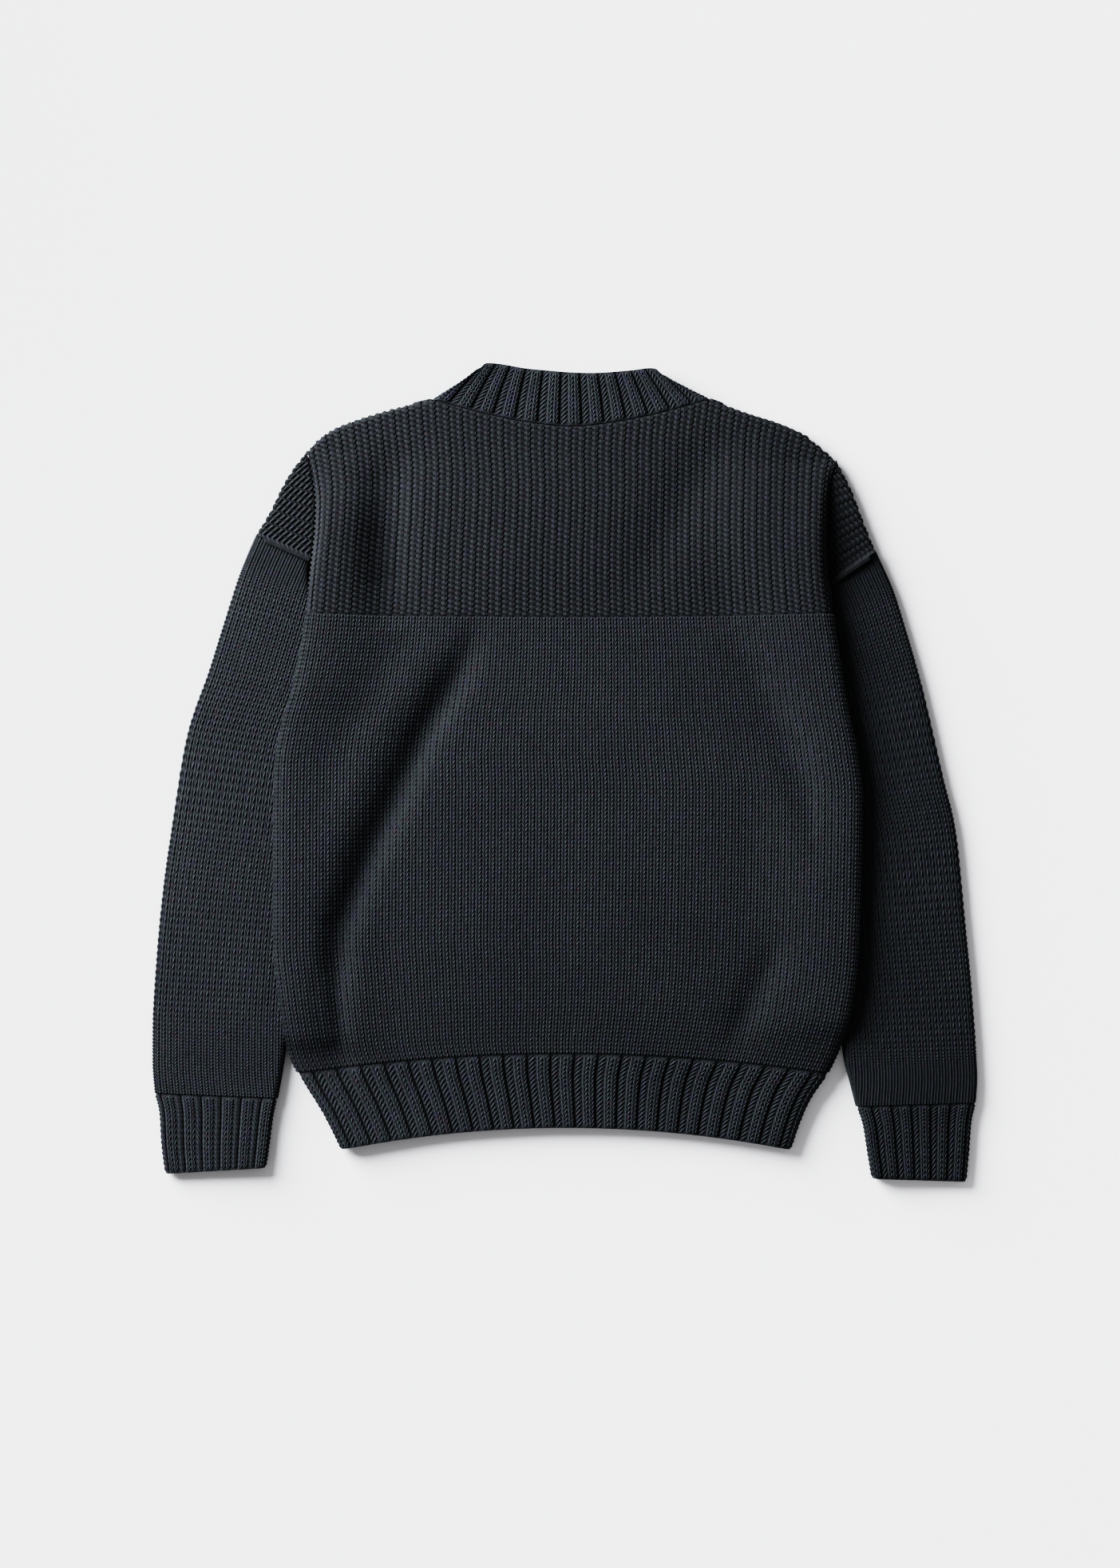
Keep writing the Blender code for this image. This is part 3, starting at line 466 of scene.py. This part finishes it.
def collar_point(around, up):
    """A point of the collar: around from its left fold over the back to the right fold and
    home over the front, and up from its seam (0) to its upper edge (1)."""
    share = 1 - np.abs(1 - 2 * around)
    back = around < 0.5
    seam_left, seam_right = NECK_CENTRE - NECK_HALF_WIDTH, NECK_CENTRE + NECK_HALF_WIDTH
    seam_inset, seam_rise = folded_across(share, seam_right - seam_left, EDGE_TURN)
    seam_x = seam_left + seam_inset
    seam_y = np.where(back, neckline(seam_x, True), neckline(seam_x, False))
    seam_z = np.where(back, back_height(seam_x, seam_y), 0)
    edge_left, edge_right = COLLAR_LEFT_TIP[0], COLLAR_RIGHT_TIP[0]
    edge_inset, edge_rise = folded_across(share, edge_right - edge_left, COLLAR_TOP / 2)
    edge_y = through(column(COLLAR_EDGE, "share"), column(COLLAR_EDGE, "y"), share)
    edge_y = edge_y - np.where(back, 0, COLLAR_FRONT_DROP * np.sin(math.pi * share))
    edge_z = np.where(back, COLLAR_TOP, 0)
    seam_z = EDGE_TURN + (seam_z - EDGE_TURN) * seam_rise
    edge_z = COLLAR_TOP / 2 + (edge_z - COLLAR_TOP / 2) * edge_rise
    x = seam_x + (edge_left + edge_inset - seam_x) * up
    return np.stack([x, seam_y + (edge_y - seam_y) * up, seam_z + (edge_z - seam_z) * up],
                    axis=-1)


# ---------------------------------------------------------------- the knitting's gauge
BODY_COLUMNS = 92  # stitches across the back, and across the front
BODY_ROWS = 104
HEM_ROWS = 17
YOKE_COLUMNS = 80
SEED_PITCH = 4.55  # from one seed-stitch bump to the next in a column
WING_COLUMNS = 14
YOKE_DEPTH = 190.0  # the yoke's rows are counted over this length
WING_ROWS = 16
SLEEVE_HALF_COLUMNS = 26
SLEEVE_COLUMN = 5.25  # width of a sleeve's column
SLEEVE_CROWDING = 9.0  # how far from the inner fold the sleeve's columns close up
SLEEVE_ROWS = 120
CUFF_COLUMNS = 52
CUFF_ROWS = 17
COLLAR_COLUMNS = 104
COLLAR_ROWS = 12
COLLAR_FAN = 0.2  # how much wider the ribs are at the middle of the collar's upper edge
# A seam's dip also darkens the painted shade of its stitches.
SEAM_DIP = 1.9  # how far the knitting dips into a seam
SEAM_ROWS = 0.4  # over how much of a row it does so, and comes back up
FLOOR_CLEARANCE = 0.05

# A record of the size a piece was knitted to, in metres, and its area where it isn't a
# rectangle; no piece is listed with it here. A sleeve, cuff or collar is all round the tube.
Cut = namedtuple("Cut", "width length area", defaults=(None,))

# How one repeat of a stitch pattern stands across its columns. lean is how many rows up the
# strands have climbed there, height is that of their crests, and ridge is from crest to
# groove. steps is how many points of a row are worked out. At a depth of hollow below the
# crests the painted shade in the grooves is black, and tone scales how light the stitches are
# painted: partly the wool's own darkness, partly painted shade.
Strand = namedtuple("Strand", "across lean height ridge")
Pattern = namedtuple("Pattern", "repeat steps hollow tone strands")
# The same wool has a different tone in each pattern: the differences between them are painted
# shade.
STOCKING = Pattern(1, 2, 2.9, 0.415, [
    Strand(0.00, 1.05, -1.40, 0.20),
    Strand(0.24, 0.60, 0.00, 0.90),
    Strand(0.50, 0.00, -1.00, 0.30),
    Strand(0.76, 0.60, 0.00, 0.90),
])
SEED = Pattern(2, 4, 3.6, 0.295, [
    Strand(0.00, 0.00, -1.50, 0.30),
    Strand(0.18, 0.05, -0.50, 1.80),
    Strand(0.48, 0.20, 0.00, 1.80),
    Strand(0.80, 0.40, -0.35, 1.80),
    Strand(1.00, 0.45, -1.50, 0.30),
    Strand(1.18, 0.55, -0.50, 1.80),
    Strand(1.48, 0.70, 0.00, 1.80),
    Strand(1.80, 0.90, -0.35, 1.80),
])
RIB = Pattern(4, 2, 3.8, 0.52, [
    Strand(0.00, 0.60, -3.30, 0.20),
    Strand(0.20, 0.00, -1.60, 0.90),
    Strand(0.75, 0.80, -0.60, 1.30),
    Strand(1.45, 1.60, -1.60, 0.40),
    Strand(1.72, 1.10, -0.20, 1.30),
    Strand(2.00, 0.40, -1.10, 0.50),
    Strand(2.30, 0.90, 0.00, 1.30),
    Strand(2.60, 1.40, -1.30, 0.40),
    Strand(2.88, 0.90, 0.00, 1.30),
    Strand(3.18, 0.20, -1.10, 0.50),
    Strand(3.50, 0.90, -0.30, 1.30),
    Strand(3.80, 1.40, -2.20, 0.40),
])
UNEVENNESS = 0.10  # how far a point of a stitch strays, as worked by hand
STEADY_ROWS = 2.0  # rows beside a seam over which that begins
LEVELS_PER_ROW = 1000  # how finely points on a line are told apart
LEVELS_PER_LINE = 1_000_000
INNER_ROWS = 4  # rows to each face of the plain inner side
INNER_DEPTH = 0.5  # how deep in shade the inner side looks
NORMAL_STEP = 0.02  # stitches over which a surface's slope is taken


# ---------------------------------------------------------------- knitted shells
def across_pattern(pattern, columns):
    """Where the lattice's lines run, from 0 to columns, and each line's strand values."""
    strands = pattern.strands
    lines = np.array([strand.across + pattern.repeat * k
                      for k in range(math.ceil(columns / pattern.repeat))
                      for strand in strands] + [columns])
    values = np.array([strand[1:] for strand in strands])
    values = np.tile(values, (len(lines) // len(strands) + 1, 1))[:len(lines)]
    keep = lines <= columns
    keep[:-1] &= lines[:-1] < columns
    return lines[keep], values[keep]


def normals_of(place, u, v, columns, rows):
    """The surface's outward unit normals: across is to the right of down, seen from outside."""
    def change(du, dv):
        return place(np.clip(u + du, 0, columns), np.clip(v + dv, 0, rows))

    step = NORMAL_STEP
    normals = np.cross(change(0, step) - change(0, -step), change(step, 0) - change(-step, 0))
    length = np.linalg.norm(normals, axis=-1, keepdims=True)
    return normals / np.maximum(length, 1e-9)


def zipped(first, second):
    """Triangles between two rows of vertices that run side by side."""
    faces, i, j = [], 0, 0
    last_i, last_j = len(first) - 1, len(second) - 1
    while i < last_i or j < last_j:
        if j == last_j or (i < last_i and (i + 1) / last_i <= (j + 1) / last_j):
            faces.append((first[i], second[j], first[i + 1]))
            i += 1
        else:
            faces.append((first[i], second[j], second[j + 1]))
            j += 1
    return np.array(faces)


Shell = namedtuple("Shell", "points faces uv depth")


def knit(place, columns, rows, pattern, thickness, outward=1, closed=False, relief=None,
         ends=None):
    """A closed shell of knitting on the surface place(u, v), u in columns and v in rows."""
    lines, values = across_pattern(pattern, columns)
    lean, height, ridge = values.T
    steps = np.arange(0, (rows + lean.max()) * pattern.steps + 1) / pattern.steps
    u = np.repeat(lines[None, :], len(steps), axis=0)
    w = np.repeat(steps[:, None], len(lines), axis=1)
    last = np.full_like(w, rows) if ends is None else ends(u)
    v = np.clip(w - lean, 0, last)
    near = np.minimum(np.minimum(v, last - v) / SEAM_ROWS, 1)
    lift = height - ridge * (1 - np.cos(2 * math.pi * w)) / 2
    lift = -SEAM_DIP + (lift + SEAM_DIP) * near
    if relief is not None:
        lift = lift * relief(u, v)

    # Points that meet on a line are one point.
    level = np.round(v * LEVELS_PER_ROW).astype(int)
    number = np.arange(len(lines))[None, :] * LEVELS_PER_LINE + level
    if closed:
        number[:, -1] = level[:, -1]
    _, first, index = np.unique(number, return_index=True, return_inverse=True)
    index = index.reshape(number.shape)
    u, v, lift, w, last = (x.ravel()[first] for x in (u, v, lift, w, last))
    normals = outward * normals_of(place, u, v, columns, rows)
    points = place(u, v) + normals * lift[:, None]
    astray = np.random.default_rng(len(points)).uniform(-UNEVENNESS, UNEVENNESS, points.shape)
    points += astray * np.clip(np.minimum(v, last - v) / STEADY_ROWS, 0, 1)[:, None]
    a, b, c, d = index[:-1, :-1], index[1:, :-1], index[1:, 1:], index[:-1, 1:]
    swap = np.broadcast_to(np.arange(len(lines) - 1) % 2 == 0, a.shape)
    faces = np.concatenate([
        np.stack([a, b, np.where(swap, c, d)], axis=-1).reshape(-1, 3),
        np.stack([np.where(swap, a, b), c, d], axis=-1).reshape(-1, 3),
    ])
    whole = (faces[:, 0] != faces[:, 1]) & (faces[:, 1] != faces[:, 2])
    faces = faces[whole & (faces[:, 0] != faces[:, 2])]

    # The inner face is plain and coarser.
    inner_u = np.linspace(0, columns, columns + 1)
    inner_v = np.linspace(0, 1, max(2, int(rows / INNER_ROWS)) + 1)
    iu, share = np.meshgrid(inner_u, inner_v)
    iv = share * (rows if ends is None else ends(iu))
    normal = outward * normals_of(place, iu.ravel(), iv.ravel(), columns, rows)
    inner = place(iu.ravel(), iv.ravel()) - normal * thickness
    grid = np.arange(iu.size).reshape(iu.shape)
    if closed:
        grid[:, -1] = grid[:, 0]
    grid += len(points)
    e, f, g, h = grid[:-1, :-1], grid[1:, :-1], grid[1:, 1:], grid[:-1, 1:]
    inner_faces = np.concatenate([np.stack([e, g, f], axis=-1).reshape(-1, 3),
                                  np.stack([e, h, g], axis=-1).reshape(-1, 3)])
    rims = [zipped(index[0], grid[0])[:, ::-1], zipped(index[-1], grid[-1])]
    if not closed:
        left = list(dict.fromkeys(index[:, 0]))
        right = list(dict.fromkeys(index[:, -1]))
        rims += [zipped(np.array(left), grid[:, 0]), zipped(np.array(right), grid[:, -1])[:, ::-1]]
    rims = np.concatenate(rims)
    every = np.concatenate([faces, inner_faces, rims])[:, ::outward]
    # Painted shade: the colour darkens with how deep a point lies in the grooves and seams, times
    # the pattern's tone; the inner face is painted in even shade.
    depth = np.clip(1 + lift / pattern.hollow, 0, 1) * pattern.tone
    depth = np.concatenate([depth, np.full(len(inner), INNER_DEPTH * pattern.tone)])
    uv = np.concatenate([np.stack([u, w], axis=-1), np.stack([iu.ravel(), iv.ravel()], axis=-1)])
    return Shell(np.concatenate([points, inner]), every, uv, depth)


def joined(shells):
    offset = np.cumsum([0] + [len(shell.points) for shell in shells])
    return Shell(
        np.concatenate([shell.points for shell in shells]),
        np.concatenate([shell.faces + start for shell, start in zip(shells, offset)]),
        np.concatenate([shell.uv for shell in shells]),
        np.concatenate([shell.depth for shell in shells]),
    )


def cloth_piece(name, shell, node):
    points = shell.points.copy()
    points[:, 2] = np.maximum(points[:, 2], FLOOR_CLEARANCE)
    mesh = bpy.data.meshes.new(name)
    mesh.vertices.add(len(points))
    mesh.vertices.foreach_set("co", (points * MM).astype(np.float32).ravel())
    mesh.loops.add(shell.faces.size)
    mesh.loops.foreach_set("vertex_index", shell.faces.astype(np.int32).ravel())
    mesh.polygons.add(len(shell.faces))
    mesh.polygons.foreach_set("loop_start", np.arange(0, shell.faces.size, 3, dtype=np.int32))
    mesh.update(calc_edges=True)
    mesh.shade_flat()
    layer = mesh.uv_layers.new(name="stitches")
    layer.data.foreach_set("uv", shell.uv[shell.faces.ravel()].astype(np.float32).ravel())
    # The painted shade of each point, for the wool's colour.
    depth = mesh.attributes.new("depth", "FLOAT", "POINT")
    depth.data.foreach_set("value", shell.depth.astype(np.float32))
    mesh.materials.append(WOOL)
    piece = bpy.data.objects.new(name, mesh)
    bpy.context.scene.collection.objects.link(piece)
    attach(piece, "root")
    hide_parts(node)


# ---------------------------------------------------------------- the surfaces in stitches
def body_place(start, end, rows, back):
    def place(u, v):
        return body_point(u / BODY_COLUMNS, start + (end - start) * v / rows, back)
    return place


def yoke_length(share, back):
    """Length of a yoke column's cloth, from the yoke's end up to the shoulder or neck."""
    top_x, _ = across_body(share, LEFT_SIDE[0].y, RIGHT_SIDE[0].y)
    angle = on_shoulder(top_x) * math.pi / 2
    end = course_y(top_x, YOKE_END, YOKE_END, COURSES[0].bow)
    return turned_length(yoke_top(top_x, back) - end, EDGE_TURN, angle)


def yoke_place(back):
    def place(u, v):
        share = u / YOKE_COLUMNS
        down = np.clip(1 - v * SEED_PITCH / yoke_length(share, back), 0, 1)
        return yoke_point(share, down, back)
    return place


def wing_length(along, left, back):
    edge = wing_point(np.ones_like(along), along, left, back)
    valley = wing_point(np.zeros_like(along), along, left, back)
    width = np.hypot(*(edge - valley)[..., :2].T).T
    return turned_length(np.maximum(width, EDGE_TURN), EDGE_TURN) * np.clip(
        width / EDGE_TURN, 0, 1)


def wing_place(left, back):
    def place(u, v):
        along = u / WING_COLUMNS
        out = 1 - np.clip(v * SEED_PITCH / np.maximum(wing_length(along, left, back), 0.01), 0, 1)
        return wing_point(out, along, left, back)
    return place


def sleeve_place(stations):
    rows = np.linspace(0, 1, len(stations))
    nominal = SLEEVE_HALF_COLUMNS * SLEEVE_COLUMN

    def place(u, v):
        down = v / SLEEVE_ROWS
        outer_x, outer_y, inner_x, inner_y = (
            through(rows, column(stations, name), down) for name in Station._fields
        )
        half = 2 * turned_length(np.hypot(outer_x - inner_x, outer_y - inner_y) / 2, EDGE_TURN)
        from_outer = np.abs(u - SLEEVE_HALF_COLUMNS) * SLEEVE_COLUMN
        free = half - SLEEVE_CROWDING
        crowd = (1 - np.exp(-(from_outer - free) / SLEEVE_CROWDING)) / (
            1 - np.exp(-(nominal - free) / SLEEVE_CROWDING))
        distance = np.where(from_outer < free, from_outer, free + SLEEVE_CROWDING * crowd)
        side = np.where(u < SLEEVE_HALF_COLUMNS, -0.5, 0.5)
        return sleeve_point(0.5 + side * distance / half, down, stations, SLEEVE_CROWN)
    return place


def sleeve_relief(stations):
    """1 where a sleeve's columns have their width, down to 0 where they are crowded."""
    place = sleeve_place(stations)

    def relief(u, v):
        total = 2 * SLEEVE_HALF_COLUMNS
        step = place(np.clip(u + 0.5, 0, total), v) - place(np.clip(u - 0.5, 0, total), v)
        width = np.linalg.norm(step, axis=-1)
        return np.clip(width / SLEEVE_COLUMN * 1.2, 0.1, 1)
    return relief


def cuff_place(stations):
    def place(u, v):
        return sleeve_point(u / CUFF_COLUMNS, v / CUFF_ROWS, stations, 0.0)
    return place


def collar_place(u, v):
    around, up = u / COLLAR_COLUMNS, 1 - v / COLLAR_ROWS
    fan = COLLAR_FAN * up * np.sin(4 * math.pi * around) / (4 * math.pi)
    return collar_point(np.clip(around - fan, 0, 1), up)


# ---------------------------------------------------------------- wool
class Graph:
    """Shorthand for the nodes of a material."""

    def __init__(self, name):
        self.material = bpy.data.materials.new(name)
        self.material.use_nodes = True
        self.tree = self.material.node_tree
        self.shader = self.tree.nodes["Principled BSDF"]

    def node(self, kind, inputs=None, **settings):
        made = self.tree.nodes.new(kind)
        for key, value in settings.items():
            setattr(made, key, value)
        for key, value in (inputs or {}).items():
            if isinstance(value, bpy.types.NodeSocket):
                self.tree.links.new(value, made.inputs[key])
            else:
                made.inputs[key].default_value = value
        return made

    def math(self, operation, a, b=0.0):
        return self.node("ShaderNodeMath", {0: a, 1: b}, operation=operation).outputs[0]

    def noise(self, vector, scale, detail=2.0, roughness=0.5):
        return self.node("ShaderNodeTexNoise", {
            "Vector": vector, "Scale": scale, "Detail": detail, "Roughness": roughness,
        }).outputs["Fac"]

    def blend(self, value, low, high, color_low, color_high):
        share = self.node("ShaderNodeMapRange", {
            "Value": value, "From Min": low, "From Max": high}).outputs["Result"]
        colors = {key: color if isinstance(color, bpy.types.NodeSocket) else (*color, 1.0)
                  for key, color in ((6, color_low), (7, color_high))}
        return self.node("ShaderNodeMix", {0: share, **colors}, data_type="RGBA").outputs[2]

    def multiply(self, a, b):
        return self.node("ShaderNodeMix", {0: 1.0, 6: a, 7: b}, data_type="RGBA",
                         blend_type="MULTIPLY").outputs[2]

    def paint(self, socket, value):
        self.tree.links.new(value, self.shader.inputs[socket])


def wool():
    """Dark wool, dyed unevenly, with painted shade in the stitches' grooves and seams."""
    yarn = Graph("navy_wool")
    yarn.shader.inputs["Roughness"].default_value = 0.92
    yarn.shader.inputs["Specular IOR Level"].default_value = 0.2
    yarn.shader.inputs["Sheen Weight"].default_value = 0.035
    yarn.shader.inputs["Sheen Roughness"].default_value = 0.5
    yarn.shader.inputs["Sheen Tint"].default_value = (0.62, 0.66, 0.80, 1.0)
    place = yarn.node("ShaderNodeTexCoord").outputs["Object"]
    stitches = yarn.node("ShaderNodeUVMap", uv_map="stitches").outputs["UV"]
    # Painted shade of the stitches' grooves, times the pattern's tone.
    depth = yarn.node("ShaderNodeAttribute", attribute_name="depth").outputs["Fac"]

    # The dye takes unevenly: green-blue on the whole, with patches of navy and of brown-violet.
    teal = yarn.blend(yarn.noise(place, 240, 3), 0.38, 0.62, (0.0215, 0.0257, 0.0300),
                      (0.0205, 0.0270, 0.0282))
    navy = yarn.blend(yarn.noise(place, 95, 3), 0.52, 0.66, teal, (0.0235, 0.0250, 0.0365))
    violet = yarn.blend(yarn.noise(place, 150, 3, 0.6), 0.56, 0.68, navy,
                        (0.0275, 0.0220, 0.0290))
    cloud = yarn.blend(yarn.noise(place, 14, 3), 0.3, 0.7, (0.9, 0.9, 0.93), (1.1, 1.1, 1.07))
    grain = yarn.blend(yarn.noise(stitches, 1.9, 2, 0.7), 0.36, 0.64, (0.78, 0.78, 0.80),
                       (1.22, 1.22, 1.20))
    strand = yarn.node("ShaderNodeVectorMath", {0: stitches, 1: (2.0, 1.0, 1.0)},
                       operation="MULTIPLY").outputs[0]
    strand = yarn.node("ShaderNodeVectorMath", {0: strand}, operation="FLOOR").outputs[0]
    strand = yarn.node("ShaderNodeTexWhiteNoise", {"Vector": strand}).outputs["Value"]
    strand = yarn.blend(strand, 0.0, 1.0, (0.86, 0.86, 0.87), (1.14, 1.14, 1.13))
    # Painted shade: the colour goes to black in the deepest grooves and to half as light again on
    # the crests.
    hollow = yarn.blend(depth, 0.0, 1.0, (0.0, 0.0, 0.0), (1.5, 1.51, 1.5))
    color = violet
    for factor in (cloud, grain, strand, hollow):
        color = yarn.multiply(color, factor)
    yarn.paint("Base Color", color)

    # The fibres are finer than the stitches' shape.
    bump = yarn.node("ShaderNodeBump", {
        "Strength": 0.7, "Distance": 0.0007, "Height": yarn.noise(place, 1300, 3, 0.6)})
    yarn.paint("Normal", bump.outputs["Normal"])
    return yarn.material


# ---------------------------------------------------------------- the studio
LAMP = (-1.60, 1.20, 0.98)  # metres from the sweater's middle, by the upper left corner
LAMP_SIZE = 1.8
LAMP_LEVEL = 3.15  # how bright a small lamp there makes a white surface at the middle
LAMP_FALL = (0.860, 0.859)  # share and power by which so broad a lamp differs from that
ROOM_LEVEL = 0.52
FLOOR_LEVEL = (1.54, 1.56, 1.60)  # how bright the floor looks
VIEW_X, VIEW_Y = -4.2, -9.8  # the middle of the view
VIEW_HEIGHT = 1374.8  # how much of the surface the view covers from top to bottom


def floor():
    """Pale paper, darker towards the lamp, so that it looks even."""
    paper = Graph("pale_floor")
    paper.shader.inputs["Roughness"].default_value = 1.0
    paper.shader.inputs["Specular IOR Level"].default_value = 0.0
    place = paper.node("ShaderNodeTexCoord").outputs["Object"]
    beam = paper.node("ShaderNodeVectorMath", {0: LAMP, 1: place}, operation="SUBTRACT")
    beam = beam.outputs[0]
    along = paper.node("ShaderNodeVectorMath", {0: beam, 1: LAMP}, operation="DOT_PRODUCT")
    length = paper.node("ShaderNodeVectorMath", {0: beam}, operation="LENGTH")
    fall = paper.math("DIVIDE", along.outputs["Value"],
                      paper.math("POWER", length.outputs["Value"], 4.0))
    fall = paper.math("MULTIPLY", fall, math.dist(LAMP, (0, 0, 0)) ** 2)
    fall = paper.math("POWER", fall, LAMP_FALL[1])
    light = paper.math("MULTIPLY_ADD", fall, LAMP_LEVEL * LAMP_FALL[0])
    light.node.inputs[2].default_value = ROOM_LEVEL
    shade = paper.math("DIVIDE", 1.0, light)
    color = paper.node("ShaderNodeVectorMath", {0: FLOOR_LEVEL, 3: shade}, operation="SCALE")
    paper.paint("Base Color", color.outputs[0])
    mesh = bpy.data.meshes.new("floor")
    mesh.from_pydata([(-5, -5, 0), (5, -5, 0), (5, 5, 0), (-5, 5, 0)], [], [(0, 1, 2, 3)])
    mesh.materials.append(paper.material)
    plane = bpy.data.objects.new("floor", mesh)
    bpy.context.scene.collection.objects.link(plane)


def light():
    world = bpy.data.worlds.new("studio")
    world.use_nodes = True
    background = world.node_tree.nodes["Background"]
    background.inputs["Color"].default_value = (1.0, 0.985, 0.985, 1.0)
    background.inputs["Strength"].default_value = ROOM_LEVEL
    bpy.context.scene.world = world
    lamp = bpy.data.lights.new("softbox", "AREA")
    lamp.shape = "DISK"
    lamp.size = LAMP_SIZE
    away = math.dist(LAMP, (0, 0, 0))
    lamp.energy = LAMP_LEVEL * math.pi**2 * away**3 / LAMP[2]
    lamp.color = (0.985, 0.99, 1.0)
    holder = bpy.data.objects.new("softbox", lamp)
    holder.location = LAMP
    holder.rotation_euler = Vector(LAMP).to_track_quat("Z", "Y").to_euler()
    bpy.context.scene.collection.objects.link(holder)


def camera():
    lens = bpy.data.cameras.new("camera")
    lens.lens = 100.0
    lens.sensor_fit = "VERTICAL"
    lens.sensor_height = 36.0
    lens.clip_end = 50.0
    eye = bpy.data.objects.new("camera", lens)
    eye.location = (VIEW_X * MM, VIEW_Y * MM, VIEW_HEIGHT * MM * lens.lens / lens.sensor_height)
    bpy.context.scene.collection.objects.link(eye)
    bpy.context.scene.camera = eye


# ---------------------------------------------------------------- the pieces
def knit_panels(back):
    """The body, hem and yoke of the back or of the front. The back's lie on the front's."""
    face, outward = ("back", 1) if back else ("front", -1)

    def add(part, shell, node):
        cloth_piece(f"{face}_{part}_knit", shell, f"{face}_{node}")

    add("body", knit(body_place(YOKE_END, RIB_START, BODY_ROWS, back), BODY_COLUMNS, BODY_ROWS,
                     STOCKING, CLOTH, outward), "body")
    add("hem", knit(body_place(RIB_START, HEM_END, HEM_ROWS, back), BODY_COLUMNS, HEM_ROWS,
                    RIB, RIB_CLOTH, outward), "hem_rib")
    shells = [knit(yoke_place(back), YOKE_COLUMNS, YOKE_DEPTH / SEED_PITCH, SEED, CLOTH, -outward,
                   ends=lambda u: yoke_length(u / YOKE_COLUMNS, back) / SEED_PITCH)]
    for left in (True, False):
        shells.append(knit(
            wing_place(left, back), WING_COLUMNS, WING_ROWS, SEED, CLOTH,
            -outward if left else outward,
            ends=lambda u, left=left: wing_length(u / WING_COLUMNS, left, back) / SEED_PITCH))
    add("yoke", joined(shells), "yoke")


def knit_tubes(side, sleeve, cuff, outward):
    cloth_piece(f"{side}_sleeve_knit", knit(
        sleeve_place(sleeve), 2 * SLEEVE_HALF_COLUMNS, SLEEVE_ROWS, STOCKING, CLOTH, outward,
        closed=True, relief=sleeve_relief(sleeve)), f"{side}_sleeve")
    cloth_piece(f"{side}_cuff_knit", knit(
        cuff_place(cuff), CUFF_COLUMNS, CUFF_ROWS, RIB, RIB_CLOTH, outward, closed=True),
        f"{side}_cuff")


WOOL = wool()
knit_panels(back=True)
knit_panels(back=False)
knit_tubes("left", LEFT_SLEEVE, LEFT_CUFF, -1)
knit_tubes("right", RIGHT_SLEEVE, RIGHT_CUFF, 1)
cloth_piece("collar_knit", knit(collar_place, COLLAR_COLUMNS, COLLAR_ROWS, RIB, RIB_CLOTH,
                                closed=True), "collar")
floor()
light()
camera()
bpy.context.scene.view_settings.view_transform = "Filmic"
bpy.context.scene.view_settings.look = "Very High Contrast"
